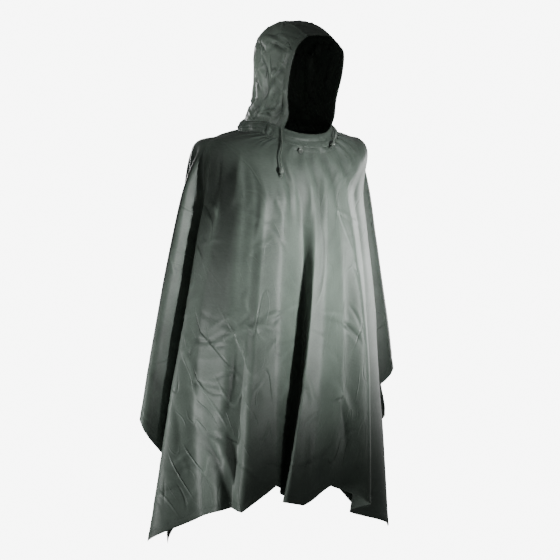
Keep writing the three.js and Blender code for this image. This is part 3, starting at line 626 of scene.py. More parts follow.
def ridged_noise(cut, size, seed):
    """Sharp ridges between soft hollows, from 0 to 1, along bent lines about size mm apart."""
    bend = [soft_noise(cut, size * 1.7, seed + k) for k in (40, 41)]
    return (1 - np.abs(soft_noise(cut + size * 0.5 * np.stack(bend, -1), size, seed))) ** 3


def scattered_creases(low, high, count, length, depth, width, seed):
    """Small creases spread over a field, each with its own place, direction and length."""
    random = np.random.default_rng(seed)
    made = []
    for _ in range(count):
        centre = random.uniform(low, high)
        turn = random.choice((-1, 1)) * random.uniform(0.15, 1.3)
        half = 0.5 * random.uniform(*length) * np.array((math.cos(turn), math.sin(turn)))
        sign = 1 if random.random() < 0.5 else -1
        made.append((centre - half, centre + half, sign * random.uniform(*depth), random.uniform(*width)))
    return made


print("soft noise at the neck:", round(float(soft_noise(np.zeros((1, 1, 2)), 90, 4)[0, 0]), 3))

# %% [markdown]
# The creases of the front and the back
#
# The front's creases follow the photo: a star of short creases below the chest on the wearer's
# right, a level line that runs from it to the centre valley, long diagonals towards the hem,
# and short puckers below the neck band. The back can't be seen, so it gets fewer, of the same kind.

# %% Crease tables
FRONT_CREASES = [
    # star below the chest
    ((-160, -540), (-112, -498), 3.0, 7),
    ((-128, -508), (-92, -474), -3.0, 6),
    ((-134, -520), (-70, -512), 3.0, 6),
    ((-176, -494), (-134, -516), -2.6, 7),
    ((-132, -522), (-120, -582), 2.6, 7),
    ((-112, -500), (-60, -486), -2.6, 6),
    # level line to the centre valley
    ((-246, -548), (-170, -552), -2.6, 6),
    ((-170, -545), (-118, -520), 2.4, 6),
    ((-62, -486), (-14, -470), 2.6, 6),
    ((-40, -500), (8, -452), -2.6, 6),
    ((-14, -470), (30, -455), 2.0, 6),
    ((-166, -470), (-130, -506), 2.4, 4),
    ((-118, -496), (-82, -528), 2.6, 4),
    ((-150, -530), (-176, -560), -2.4, 4),
    ((-100, -470), (-112, -430), 2.2, 4),
    ((-86, -500), (-38, -512), 2.4, 4),
    ((-230, -530), (-196, -560), 2.2, 5),
    ((-216, -556), (-150, -548), 2.6, 4),
    # narrow fold under the star, with its lit strip
    ((-136, -560), (-172, -760), -5.0, 12),
    ((-112, -556), (-120, -760), 3.5, 14),
    # long diagonal towards the hem
    ((-222, -772), (-150, -985), -5.0, 13),
    ((-196, -776), (-128, -968), 4.0, 15),
    ((-240, -742), (-214, -790), 3.2, 7),
    ((-214, -780), (-160, -800), -3.0, 7),
    ((-160, -770), (-138, -840), -2.5, 8),
    # chest
    ((-124, -58), (-158, -215), 3.2, 12),
    ((-206, -70), (-238, -180), 2.6, 12),
    ((-68, -165), (-92, -300), 4.0, 15),
    ((-222, -190), (-196, -240), -2.4, 6),
    ((-208, -182), (-184, -222), 2.4, 5),
    ((-150, -180), (-118, -186), 1.6, 8),
    ((-238, -110), (-254, -263), 3.0, 9),
    ((-175, -72), (-201, -204), -3.4, 12),
    ((-29, -45), (8, -230), -2.8, 9),
    ((-14, -60), (20, -250), 2.2, 7),
    # gathers that run out below the left cord
    ((40, -66), (58, -225), 2.4, 7),
    ((56, -62), (80, -255), -2.6, 7),
    ((72, -60), (102, -225), 2.6, 7),
    ((92, -58), (130, -235), -2.6, 7),
    ((110, -60), (160, -210), 2.6, 8),
    ((128, -66), (188, -190), -2.2, 8),
    # right-hand panel
    ((88, -470), (150, -486), 2.2, 6),
    ((104, -488), (168, -520), -2.4, 6),
    ((150, -505), (196, -560), -2.4, 7),
    ((60, -760), (40, -900), -3.0, 10),
    ((130, -700), (150, -860), -2.4, 8),
    ((110, -640), (170, -760), 2.2, 9),
    ((84, -240), (76, -420), -2.6, 10),
    ((40, -620), (64, -720), 2.4, 8),
    ((20, -880), (96, -840), -2.0, 7),
    # near front, down the side
    ((-276, -560), (-246, -640), 2.6, 8),
    ((-262, -590), (-240, -560), -2.4, 6),
    ((-300, -700), (-286, -840), -2.2, 10),
    ((-250, -640), (-236, -760), 2.2, 10),
    ((-300, -870), (-250, -830), 2.0, 8),
    ((-330, -940), (-270, -920), -1.8, 8),
    # wings
    ((-330, -560), (-316, -640), 2.0, 8),
    ((-356, -600), (-338, -700), -2.0, 8),
    ((-300, -330), (-286, -430), 1.6, 10),
    ((236, -430), (256, -540), -2.0, 8),
    ((226, -260), (240, -350), 1.8, 8),
]
BACK_CREASES = [
    ((-150, -180), (-60, -210), 2.4, 9),
    ((-40, -210), (60, -190), -2.2, 9),
    ((80, -150), (150, -220), 2.4, 9),
    ((-200, -430), (-120, -470), 2.6, 8),
    ((-130, -450), (-60, -440), -2.6, 7),
    ((-90, -470), (-40, -540), 2.6, 8),
    ((40, -500), (120, -470), -2.4, 8),
    ((120, -520), (190, -600), 2.6, 9),
    ((180, -400), (230, -470), -2.4, 8),
    ((-220, -700), (-160, -820), 3.4, 12),
    ((-150, -680), (-120, -760), -2.6, 10),
    ((20, -760), (60, -900), 3.2, 12),
    ((90, -720), (150, -790), -2.6, 9),
    ((200, -720), (240, -840), 2.6, 10),
    ((-60, -880), (0, -840), -2.2, 8),
    ((-260, -560), (-230, -640), 2.2, 8),
    ((250, -580), (280, -660), -2.2, 8),
]
print("creases:", len(FRONT_CREASES), "in front and", len(BACK_CREASES), "behind")

# %% [markdown]
# The body
#
# A crease 6 mm wide needs columns and rows of cloth every few millimetres. So the columns stand
# 8 mm apart along the front's hem and closer above it, a little wider behind, and far apart in
# the plain wings, and the rows are about 5 mm apart. To the plain drape come small gathers below
# the neck band, most of them left of the front's middle, the creases above, slow waves and
# blunt ridges as in any thin cloth, and the hem: a strip 22 mm wide, folded under twice, that
# puckers along its stitches. Front and back share one cut and one noise, so they meet at the
# arm lines.

# %% Body panels
YOKE_ROWS, HANG_ROWS = 26, 168
FRONT_SPACING, BACK_SPACING, WING_SPACING = 8, 12, 34  # mm between columns along the hem
FINE_EDGES = ((1010, 2435), (4460, 5890))  # the parts of the hem that face front and back
HEM_WIDTH, HEM_STITCHES = 22, 19  # mm from the edge
FACING_WIDTH, FACING_STITCHES = 14, 13  # mm below the band
FACING_MIDDLE, FACING_REACH = -20, 62  # degrees round the neck
BODY_NOISE = 11
BODY_WAVES = ((2.6, 170), (0.9, 84))


def span_steps(index):
    start = LINES[index][0]
    in_front, behind = (low <= start < high for low, high in FINE_EDGES)
    spacing = FRONT_SPACING if in_front else BACK_SPACING if behind else WING_SPACING
    return max(5, round((span_end(index) - start) / spacing))


def body_grid(first, last):
    """The columns from one fold line to another, with one more at each end to set the normals by."""
    count = len(LINES)
    places = [((first - 1) % count, 1 - 1 / span_steps((first - 1) % count))]
    for index in range(first, last):
        places += [(index, k / span_steps(index)) for k in range(span_steps(index))]
    places += [(last % count, 0.0), (last % count, 1 / span_steps(last % count))]
    found = [(*body_column(index, share, YOKE_ROWS, HANG_ROWS), share) for index, share in places]
    return [np.array(part) for part in zip(*found)]


def gathers(run, turn, phase):
    """Small gathers where the body is drawn into the neck band."""
    degrees = np.degrees(turn)[:, None]
    off_left = np.abs((degrees - 28 + 540) % 360 - 180)
    behind = np.abs((degrees + 540) % 360 - 180) > 120
    drawn = np.minimum(1, 0.25 + np.exp(-((off_left / 30) ** 2)) + 0.5 * behind)
    plain = 3.0 * np.sin(np.pi * np.sqrt(np.clip(run / 75, 0, 1))) * np.cos(2 * np.pi * phase)[:, None]
    angle = turn[:, None]
    fan = np.cos(31 * angle + 1.5 * np.sin(5 * angle) + 0.7 * np.sin(11 * angle))
    fine = 1.7 * np.sin(np.pi * np.clip(run / 135, 0, 1) ** 0.45) * np.sign(fan) * np.abs(fan) ** 0.7
    return plain * drawn + fine * (0.15 + drawn)


def hem_relief(run, cut):
    """The folded hem, with puckers at its stitches."""
    from_end = run[:, -1:] - run
    from_side = np.where(np.abs(cut[..., 1]) > 40, CUT_WIDTH / 2 - np.abs(cut[..., 0]), 1e3)
    gap = np.minimum(from_end, from_side)
    pucker = 1.2 * soft_noise(cut, 16, 9) * np.exp(-(((gap - HEM_WIDTH) / 13) ** 2))
    return sewn_edge(gap, 0.8, HEM_WIDTH, 1.4, 0.9, HEM_STITCHES, 2.6) + pucker


def facing_relief(run, turn):
    """The facing under the neck seam shows as a step below the band, right of the stud."""
    degrees = np.degrees(turn)[:, None]
    where = 1 / (1 + np.exp((np.abs(degrees - FACING_MIDDLE) - FACING_REACH) / 3))
    return where * sewn_edge(run, 0.5, FACING_WIDTH, 0.9, 0.7, FACING_STITCHES, 2.0)


def finish_body(name, node, first, last, azimuth, creases):
    points, cut, run, turn, phase = body_grid(first, last)
    normal = grid_normals(points)
    points = points + normal * gathers(run, turn, phase)[..., None]
    away = np.clip(run / 60, 0, 1)
    relief, crushed = crease_relief(seen_from(points, azimuth), creases)
    strength = facing(normal, azimuth) * np.clip(run / 25, 0, 1)
    waves = layered_noise(cut, BODY_WAVES, BODY_NOISE)
    patches = np.clip(1.6 * soft_noise(cut, 210, BODY_NOISE + 2), 0, 1)
    wrinkles = 0.8 * ridged_noise(cut, 74, BODY_NOISE + 3) * (0.2 + patches)
    total = relief * strength + (waves + wrinkles) * away + hem_relief(run, cut) + facing_relief(run, turn)
    points = (points + normal * total[..., None])[1:-1]
    crinkle = 0.35 + 0.5 * patches + 0.5 * np.clip(crushed * strength, 0, 1)
    # crest: ridge heights that the cloth shader turns into rubbed coating and a painted highlight on ridges,
    # and painted shade in troughs
    crest_wear_and_painted_light = (relief * strength + 0.8 * wrinkles * away)[1:-1] / 3
    panel = cloth_shell(name, points, cut[1:-1], crinkle[1:-1], crest_wear_and_painted_light, BODY_CLOTH)
    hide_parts(node)
    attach(panel, "root")
    return panel, points, run[1:-1], turn[1:-1]


small_front = scattered_creases((-330, -1000), (190, -120), 90, (30, 110), (0.7, 1.8), (4, 7), 17)
small_back = scattered_creases((-330, -1000), (330, -120), 110, (30, 120), (0.8, 2.0), (4, 7), 19)
front_panel, front_grid, front_run, front_turn = finish_body(
    "front_panel", "body_front", 0, LEFT_ARM, -35, FRONT_CREASES + small_front)
back_panel, back_grid, back_run, _ = finish_body(
    "back_panel", "body_back", LEFT_ARM, len(LINES), 180, BACK_CREASES + small_back)

# %% [markdown]
# The neck band
#
# The band is a casing: a strip folded double over a drawcord, which crowds it into small
# upright puffs round the sides and the back, while it stays smooth in front. A grid round the
# neck gives it, with a fine fan of puffs that are never quite the same width.

# %% Neck band
BAND_COLUMNS, BAND_ROWS = 420, 22


def band_point(turn, share):
    """The plain neck band as its solid has it: from the hood's seam down to the body's."""
    top = on_ring(HOOD_SEAM, turn)
    down = on_ring(YOKE["neck seam"], turn) - top
    out = np.array((top[0], top[1], 0)) / math.hypot(top[0], top[1])
    ahead = abs(math.atan2(math.sin(turn), math.cos(turn)))
    t = min(1, max(0, (ahead - math.radians(40)) / 0.5))
    gathered = t * t * (3 - 2 * t)
    puff = 7 * (0.2 + 0.8 * gathered) * math.sin(math.pi * share)
    return top + down * share + out * puff, out, gathered


def neck_band_grid():
    turns = np.linspace(-np.pi / 2, 3 * np.pi / 2, BAND_COLUMNS, endpoint=False)
    grid = np.empty((BAND_COLUMNS, BAND_ROWS + 1, 3))
    shares = np.linspace(0, 1, BAND_ROWS + 1)
    for j, turn in enumerate(turns):
        uneven = turn + 0.05 * math.sin(7 * turn + 1) + 0.03 * math.sin(17 * turn)
        for i, share in enumerate(shares):
            point, out, gathered = band_point(turn, share)
            bulge = math.sin(math.pi * share)
            ripple = 3.0 * gathered * math.cos(29 * uneven + 1.1 * math.sin(3.2 * share + 3 * turn))
            drape = (1 - gathered) * 1.3 * math.sin(2.6 * math.pi * share + 2.5 * math.sin(2 * turn))
            tunnel = -1.5 * math.exp(-(((share - 0.52) / 0.06) ** 2)) * (0.5 + 0.5 * gathered)
            welt = 0.9 * math.exp(-(((share - 0.93) / 0.05) ** 2))
            grid[j, i] = point + out * ((ripple + drape) * bulge ** 0.8 + tunnel + welt)
    cut = np.stack(np.broadcast_arrays(turns[:, None] * 170, shares[None, :] * -45), -1)
    fine = 1.2 * soft_noise(cut, 15, 61) * np.sin(np.pi * shares)
    grid += grid_normals(grid, closed=True) * fine[..., None]
    return grid, cut


band_grid, band_cut = neck_band_grid()
neck_band = cloth_shell("neck_band_cloth", band_grid, band_cut, 0.7, 0.0, BODY_CLOTH, closed=True)
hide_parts("neck_band")
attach(neck_band, "root")

# %% [markdown]
# The hood
#
# A hood of this kind has three panels: a side for each cheek, and a strip from the nape over
# the crown to the brim. The strip takes the turn over the head, so the sides can stay nearly
# flat. Each side is a grid whose slices run from the face edge to the back seam, and it is full
# of small creases, because this cloth was folded into a pouch. The sides are made alike, with
# their own creases. Their feet are sewn in just inside the top of the neck band, which lies
# higher on the wearer's left.

# %% The hood's shape
CROWN_HALF, CROWN_RISE, FACE_SHARE = 42, 5, 0.42
FOOT_DEPTH = 1.5
HOOD_FACE_TURN = math.radians(40)
HOOD_BACK_TURN = math.pi - math.asin((CROWN_HALF / HOOD_SEAM[0]) ** (1 / RING_SQUARENESS))

# slice: face x, face y, half width, side y, back y, height at face, side and back
HOOD = {
    "nape": (73, -107, 99, 0, 93, 40, 64, 84),
    "jaw": (78, -110, 96, -10, 80, 88, 106, 122),
    "cheek": (83, -128, 99, -15, 74, 150, 160, 168),
    "temple": (77, -144, 98, -15, 72, 203, 210, 212),
    "brow": (63, -144, 88, -18, 67, 224, 249, 242),
    "dome": (47, -144, 70, -20, 60, 238, 275, 259),
    "crown seam": (38, -145, 43, -22, 52, 244, 290, 271),
}

# fold: from (along, up), to (along, up), depth, width
HOOD_FOLDS = {
    "ear": ((0.34, 0.34), (0.5, 0.62), 7, 16),
    "jaw to nape": ((0.2, 0.22), (0.46, 0.06), 6, 15),
    "behind the ear": ((0.62, 0.2), (0.66, 0.56), 7, 15),
    "temple": ((0.16, 0.62), (0.42, 0.86), 5, 16),
    "nape": ((0.7, 0.1), (0.95, 0.24), 6, 16),
}


def slice_point(piece, along):
    face_x, face_y, half_width, side_y, back_y, z_face, z_side, z_back = piece
    if along < FACE_SHARE:
        share = along / FACE_SHARE
        bend = math.sin(math.pi / 2 * share)
        return np.array((
            face_x + (half_width - face_x) * bend,
            face_y + (side_y - face_y) * share,
            z_face + (z_side - z_face) * bend,
        ))
    share = (along - FACE_SHARE) / (1 - FACE_SHARE)
    last = math.acos(min(1, CROWN_HALF / half_width))
    back = math.sin(share * last) / math.sin(last) if last > 0.3 else share
    return np.array((
        half_width * math.cos(share * last),
        side_y + (back_y - side_y) * back,
        z_side + (z_back - z_side) * back,
    ))


def tucked_foot(turn):
    """The hood's raw edge, just inside the top of the neck band."""
    return on_ring(HOOD_SEAM, turn) - (0, 0, FOOT_DEPTH)


def seam_point(along, side):
    quarter = math.pi / 2
    if along < FACE_SHARE:
        turn = HOOD_FACE_TURN + (quarter - HOOD_FACE_TURN) * along / FACE_SHARE
    else:
        turn = quarter + (HOOD_BACK_TURN - quarter) * (along - FACE_SHARE) / (1 - FACE_SHARE)
    return tucked_foot(side * turn) * (side, 1, 1)


def hood_column(along, ups, side=1):
    points = [seam_point(along, side)] + [slice_point(piece, along) for piece in HOOD.values()]
    points = [2 * points[0] - points[1], *points, 2 * points[-1] - points[-2]]
    return through_points(points, ups)


print("brim height:", round(hood_column(0.0, 1.0)[0][2]), "mm")

# %% [markdown]
# Creases of the hood
#
# The wearer's right side follows the photo: one long crease runs from the brim at eye level down
# to the middle of the cheek, meets a steep one that comes from the crown, and others fan out from
# the throat. The left side, of which the photo shows only the inside, has a similar set. As
# before, each crease is given by where it is seen. Small scattered ones fill the rest.

# %% Hood panels
PANEL_WIDE, PANEL_HIGH = 260, 330

# start and end as seen, depth, width in mm
RIGHT_HOOD_CREASES = [
    ((-4, 208), (-50, 124), 5.0, 6),
    ((-10, 190), (-56, 112), -4.0, 7),
    ((-71, 192), (-54, 122), -5.0, 7),
    ((-58, 186), (-46, 134), 3.0, 7),
    ((-52, 124), (-68, 82), -5.0, 7),
    ((-44, 118), (-50, 76), 3.2, 7),
    ((-10, 104), (-48, 42), 4.5, 6),
    ((-14, 92), (-54, 44), -4.0, 6),
    ((-8, 76), (-34, 34), -3.4, 6),
    ((-26, 116), (0, 88), 3.0, 5),
    ((-40, 146), (-14, 118), 3.0, 6),
    ((-74, 84), (-90, 58), -4.4, 6),
    ((-66, 70), (-82, 44), 3.6, 6),
    ((-84, 46), (-46, 36), 3.4, 6),
    ((-60, 60), (-30, 58), -2.8, 5),
    ((-80, 236), (-58, 206), -3.4, 6),
    ((-60, 212), (-36, 238), 3.2, 6),
    ((-52, 244), (-14, 222), 3.4, 6),
    ((-44, 232), (-10, 206), -3.2, 6),
    ((-78, 164), (-64, 130), 3.2, 6),
    ((-86, 140), (-74, 104), -3.0, 6),
    ((-30, 186), (-6, 160), 2.6, 5),
    ((-32, 158), (-4, 148), -2.4, 5),
    ((-66, 256), (-30, 250), -2.6, 6),
    ((-24, 246), (2, 236), 2.6, 6),
]
LEFT_HOOD_CREASES = [
    ((70, 210), (30, 120), 4.6, 8),
    ((-10, 200), (10, 110), -4.6, 8),
    ((40, 190), (10, 100), 3.6, 7),
    ((-60, 190), (-40, 100), -4.0, 8),
    ((60, 90), (20, 40), 4.0, 7),
    ((70, 130), (50, 70), -3.4, 7),
    ((-70, 120), (-50, 50), 3.6, 7),
    ((-20, 90), (-50, 50), -3.4, 7),
    ((-40, 240), (20, 220), 3.2, 7),
    ((30, 240), (70, 200), -3.2, 7),
]
SIDE_COLUMNS, SIDE_ROWS = 140, 190
CASING_WIDTH, CASING_STITCHES = 17, 16
HOOD_WAVES = ((2.2, 70), (0.5, 34))


def hood_side(name, node, side, azimuth, creases, seed):
    """One side of the hood, -1 for the wearer's right and 1 for the left, facing out."""
    first = 1 if side < 0 else 0
    alongs = np.linspace(first, 1 - first, SIDE_COLUMNS + 1)
    ups = np.linspace(1, 0, SIDE_ROWS + 1)
    grid = np.array([hood_column(a, ups, side) for a in alongs])
    grid[..., 0] *= side
    normal = grid_normals(grid)
    size = (PANEL_WIDE, PANEL_HIGH)
    place = np.stack(np.broadcast_arrays(alongs[:, None] * PANEL_WIDE, ups[None, :] * PANEL_HIGH), -1)
    quiet = np.clip(np.minimum(place, size - place).min(axis=-1) / 16, 0, 1)

    sunk = np.zeros(place.shape[:2])
    for start, end, depth, width in HOOD_FOLDS.values():
        start, end = np.multiply(start, size), np.multiply(end, size)
        run = end - start
        share = np.clip(((place - start) @ run) / (run @ run), 0, 1)
        gap = np.linalg.norm(place - start - share[..., None] * run, axis=-1)
        sunk += depth * np.exp(-((gap / width) ** 2))
    relief, crushed = crease_relief(seen_from(grid, azimuth), creases)
    strength = facing(normal, azimuth)
    scattered = scattered_creases((10, 10), (250, 320), 46, (24, 80), (0.9, 2.2), (3.5, 6), seed)
    small, small_crushed = crease_relief(place, scattered)
    waves = layered_noise(place, HOOD_WAVES, seed)
    wrinkles = 0.9 * ridged_noise(place * (1.0, 0.7), 52, seed + 2)

    face_gap = place[..., 0]
    casing = sewn_edge(face_gap, 0.9, CASING_WIDTH, 1.3, 1.1, CASING_STITCHES, 2.2)
    pucker = 1.2 * soft_noise(place, 12, seed + 5) * np.exp(-(((face_gap - 18) / 10) ** 2))
    seam_gap = (size - place).min(axis=-1)
    welt = sewn_edge(seam_gap, 0.9, 7, 0.9, 0.6, 6, 1.6)
    total = (-sunk + relief * strength + small + waves + wrinkles) * quiet + casing + pucker * quiet + welt
    grid = grid + normal * total[..., None]
    crinkle = np.clip(0.7 + 0.4 * (crushed * strength + small_crushed), 0, 1.3)
    # crest: ridge heights that the cloth shader turns into rubbed coating and a painted highlight on ridges,
    # and painted shade in troughs
    crest_wear_and_painted_light = (relief * strength + small + 0.6 * wrinkles) * quiet / 3
    panel = cloth_shell(name, grid, place + (side * 900, 0), crinkle, crest_wear_and_painted_light, HOOD_CLOTH)
    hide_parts(node)
    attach(panel, "root")
    return panel, grid


right_side, right_grid = hood_side("hood_side_right", "hood_right", -1, -35, RIGHT_HOOD_CREASES, 51)
left_side, left_grid = hood_side("hood_side_left", "hood_left", 1, 60, LEFT_HOOD_CREASES, 71)

# %% [markdown]
# The crown strip
#
# The strip lies between the two seams, raised a little in its middle by the head. It is made
# across from one seam line to the other, so it can't drift off them, and it laps over the sides
# by 1.2 mm, so that no light shows through.

# %% Crown strip
CROWN_COLUMNS, NAPE_ROWS, OVER_ROWS = 36, 130, 90
CROWN_OVERLAP = 1.2
CROWN_WAVES = ((1.8, 36), (1.0, 17))


def hood_foot(across):
    side = math.copysign((abs(across) / HOOD_SEAM[0]) ** (1 / RING_SQUARENESS), across)
    return tucked_foot(math.pi - math.asin(side))


def crown_grid():
    nape = np.linspace(0, 1, NAPE_ROWS + 1)
    right_back, left_back = (hood_column(1.0, nape, side) for side in (-1, 1))
    over = np.array([hood_column(a, 1.0)[0] for a in np.linspace(1, 0, OVER_ROWS + 1)[1:]])
    right_seam, seam = np.vstack((right_back, over)), np.vstack((left_back, over))
    across = np.linspace(-1, 1, CROWN_COLUMNS + 1)
    grid = np.empty((len(across), len(seam), 3))
    out = np.column_stack((np.zeros(len(seam)), seam[:, 1] + 20, seam[:, 2] - 150))
    out /= np.linalg.norm(out, axis=1)[:, None]
    run = distance_along(seam)
    for j, a in enumerate(across):
        grid[j] = seam + (right_seam - seam) * (1 - a) / 2
        grid[j, :, 0] = a * (seam[:, 0] + CROWN_OVERLAP)
        grid[j] += out * CROWN_RISE * math.sin(math.pi * (a + 1) / 2)
        shift = hood_foot(a * (seam[0, 0] + CROWN_OVERLAP)) - grid[j, 0]
        grid[j] += shift * np.clip(1 - run / 70, 0, 1)[:, None] ** 2
    place = np.stack(np.broadcast_arrays(across[:, None] * CROWN_HALF, run[None, :]), -1)
    return grid, place, run


def crown_creases(place, run):
    """How far the crown's cloth moves out, and its small creases alone."""
    over_seams = np.sqrt(np.clip(1 - (place[..., 0] / CROWN_HALF) ** 2, 0, 1))
    middle = over_seams * np.clip(run / 30, 0, 1)[None, :]
    scattered = scattered_creases((-38, 10), (38, 460), 34, (20, 60), (0.8, 1.9), (3.5, 5.5), 93)
    small, _ = crease_relief(place, scattered)
    waves = layered_noise(place, CROWN_WAVES, 91) + small + 1.4 * ridged_noise(place, 30, 94)
    brim = sewn_edge(run[-1] - run[None, :], 0.8, CASING_WIDTH, 1.5, 0.9, CASING_STITCHES, 2.6)
    return waves * middle + brim, small


crown, crown_place, crown_run = crown_grid()
moved, small_creases = crown_creases(crown_place, crown_run)
crown = crown + grid_normals(crown) * moved[..., None]
# the crown's crest: small crease heights, painted paler on their ridges (rubbed coating and painted
# highlight) and darker in their troughs (painted shade)
crown_cut, crown_crest_wear_and_painted_light = crown_place + (0, 2000), small_creases / 3
crown_strip = cloth_shell("hood_crown_strip", crown, crown_cut, 0.5, crown_crest_wear_and_painted_light, HOOD_CLOTH)
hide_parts("hood_crown")
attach(crown_strip, "root")

# %% [markdown]
# Drawcords
#
# The drawcord is a braided polyester cord, 3.5 mm thick. Each free end comes out at the top of the
# neck band, lies over it and down the front, and carries a cord lock above its knot. It is a
# curve with a round section, along the same route as its solid.

# %% Braided cord
# where each cord lies on the band (degrees round the neck, share of the way down), and then on
# the body (degrees, mm from the band)
CORDS = {
    "right": (
        ((-43, 0.12), (-42, 0.4), (-41, 0.7), (-40, 0.96)),
        ((-37, 10), (-34.4, 20), (-32.5, 30), (-31.3, 45), (-31, 60), (-31.3, 78), (-35.5, 121)),
    ),
    "left": (((54, 0.12), (49, 0.25), (43, 0.38), (37, 0.5)), ((17, 9),)),
}
CORD_RADIUS, KNOT_LENGTH, CORD_TAIL, LOCK_RADIUS = 1.75, 7, 4, 5.8
CORD_STAND = WALL / 2 + LAP_GAP + CORD_RADIUS
LOCK_STAND = WALL / 2 + LAP_GAP + LOCK_RADIUS + 1.5


def resting_on_band(degrees, share, stand):
    turn = math.radians(degrees)
    point = band_point(turn, share)[0]
    down = band_point(turn, share + 0.05)[0] - band_point(turn, share - 0.05)[0]
    across = band_point(turn + 0.02, share)[0] - band_point(turn - 0.02, share)[0]
    normal = np.cross(down, across)
    return point + normal / np.linalg.norm(normal) * stand


# the front's columns as they are in the solid, on which the cords rest
SOLID = [body_column(i, k / 4, 6, 9) for i in range(5, 20) for k in range(4)]
SOLID_TURNS = np.degrees([neck_turn for _, _, _, neck_turn in SOLID])


def resting_on_body(degrees, distance, stand):
    """A point a distance down the body from the band, standing off the cloth."""
    down = lambda column, far: at_distance(column[0], distance_along(column[0]), far)
    j = int(np.searchsorted(SOLID_TURNS, degrees)) - 1
    share = (degrees - SOLID_TURNS[j]) / (SOLID_TURNS[j + 1] - SOLID_TURNS[j])
    one, following = down(SOLID[j], distance), down(SOLID[j + 1], distance)
    fall = down(SOLID[j], distance + 4) - down(SOLID[j], max(0, distance - 4))
    normal = np.cross(fall, following - one)
    return one + (following - one) * share + normal / np.linalg.norm(normal) * stand


def smooth_line(stops, spacing):
    """Points every so many mm along a smooth curve through the stops."""
    stops = np.array(stops)
    ends = (2 * stops[0] - stops[1], 2 * stops[-1] - stops[-2])
    fine = through_points(np.vstack((ends[0], stops, ends[1])), np.linspace(0, 1, 400))
    run = distance_along(fine)
    return at_distance(fine, run, np.linspace(0, run[-1], math.ceil(run[-1] / spacing) + 1))


def cord_path(over_band, over_body):
    """The cord's middle line, which rises from the cloth to its lock and is straight inside it."""
    count = len(over_band) + len(over_body)
    rise = LOCK_STAND - CORD_STAND
    stands = [CORD_STAND + rise * max(0, (i - 1) / (count - 3)) for i in range(count - 1)] + [LOCK_STAND]
    stops = [resting_on_band(turn, share, stand) for (turn, share), stand in zip(over_band, stands)]
    stands = stands[len(over_band):]
    stops += [resting_on_body(turn, gap, stand) for (turn, gap), stand in zip(over_body, stands)]
    path = smooth_line(stops[:-1], 7)
    straight = [path[-1] + (stops[-1] - path[-1]) * i / 4 for i in range(1, 5)]
    return np.vstack((path, straight))


def braided_cord():
    material, tree = new_material("braided_polyester_cord")
    place = add_node(tree, "ShaderNodeTexCoord").outputs["Object"]
    one_way, level = (
        add_node(
            tree, "ShaderNodeTexWave", {"bands_direction": direction},
            Vector=place, Scale=scale, Distortion=0.3,
        ).outputs["Fac"]
        for direction, scale in (("DIAGONAL", 190.0), ("Z", 160.0))
    )
    braid = add_node(tree, "ShaderNodeMath", TIMES, n0=one_way, n1=level)
    bump = add_node(tree, "ShaderNodeBump", Strength=0.6, Distance=0.0005, Height=braid)
    tone = add_node(tree, "ShaderNodeMix", COLOUR, n0=braid, n6=linear("#5d685f"), n7=linear("#8a948b"))
    finish_surface(tree, add_node(
        tree, "ShaderNodeBsdfPrincipled", Base_Color=tone.outputs[2], Roughness=0.7, Normal=bump,
        Specular_IOR_Level=0.3, Sheen_Weight=0.2,
    ))
    return material


CORD_MATERIAL = braided_cord()
print("cord path points:", len(cord_path(*CORDS["right"])), "and", len(cord_path(*CORDS["left"])))

# %% [markdown]
# Knots and cord locks
#
# A cord end is stopped by an overhand knot: a loop that the end passes through once. Here it is
# a short tube along a trefoil-like curve, pulled tight. The lock is a moulded barrel with a
# spring button at its top. It is turned on a lathe in mesh code and gets ribs for the fingers.

# %% Cords with their knots and locks
KNOT_RADIUS, KNOT_SIDES, LOCK_SIDES, RIB_DEPTH = 1.45, 10, 40, 0.22

# the lock's outline from its foot to its button: radius and height in mm
LOCK_OUTLINE = (
    (2.3, 0), (4.7, 0), (5.5, 0.7), (LOCK_RADIUS, 2), (LOCK_RADIUS, 9), (5.2, 9.9),
    (4.4, 10.1), (4.4, 13.7), (3.9, 14.6), (3, 15), (2.3, 15),
)


def plain_piece(name, points, faces, material):
    """A mesh object from points in mm, with outward normals and smooth faces."""
    mesh = bpy.data.meshes.new(name)
    mesh.from_pydata((np.asarray(points) * MM).tolist(), [], faces)
    work = bmesh.new()
    work.from_mesh(mesh)
    bmesh.ops.remove_doubles(work, verts=work.verts, dist=1e-6)
    bmesh.ops.recalc_face_normals(work, faces=work.faces)
    work.to_mesh(mesh)
    work.free()
    mesh.polygons.foreach_set("use_smooth", [True] * len(mesh.polygons))
    mesh.materials.append(material)
    return add_object(name, mesh)


def ring_faces(rows, sides, closed=False):
    """The faces between rings of points, one after another."""
    return [
        (i * sides + k, i * sides + (k + 1) % sides, n * sides + (k + 1) % sides, n * sides + k)
        for i, n in ((i, (i + 1) % rows) for i in range(rows if closed else rows - 1))
        for k in range(sides)
    ]


def moulded_plastic():
    """Acetal, injection moulded: a fine matt grain with a soft gloss."""
    material, tree = new_material("moulded_acetal")
    place = add_node(tree, "ShaderNodeTexCoord").outputs["Object"]
    grain = add_node(tree, "ShaderNodeTexNoise", Vector=place, Scale=900.0, Detail=2.0)
    bump = add_node(tree, "ShaderNodeBump", Strength=0.25, Distance=0.0003, Height=grain)
    tone = add_node(tree, "ShaderNodeMix", COLOUR, n0=grain, n6=linear("#7d877f"), n7=linear("#99a39a"))
    finish_surface(tree, add_node(
        tree, "ShaderNodeBsdfPrincipled", Base_Color=tone.outputs[2], Roughness=0.38, Normal=bump))
    return material


LOCK_MATERIAL = moulded_plastic()


def frame_along(axis):
    axis = axis / np.linalg.norm(axis)
    across = np.cross(axis, (0, 1, 0))
    across /= np.linalg.norm(across)
    return across, np.cross(axis, across), axis


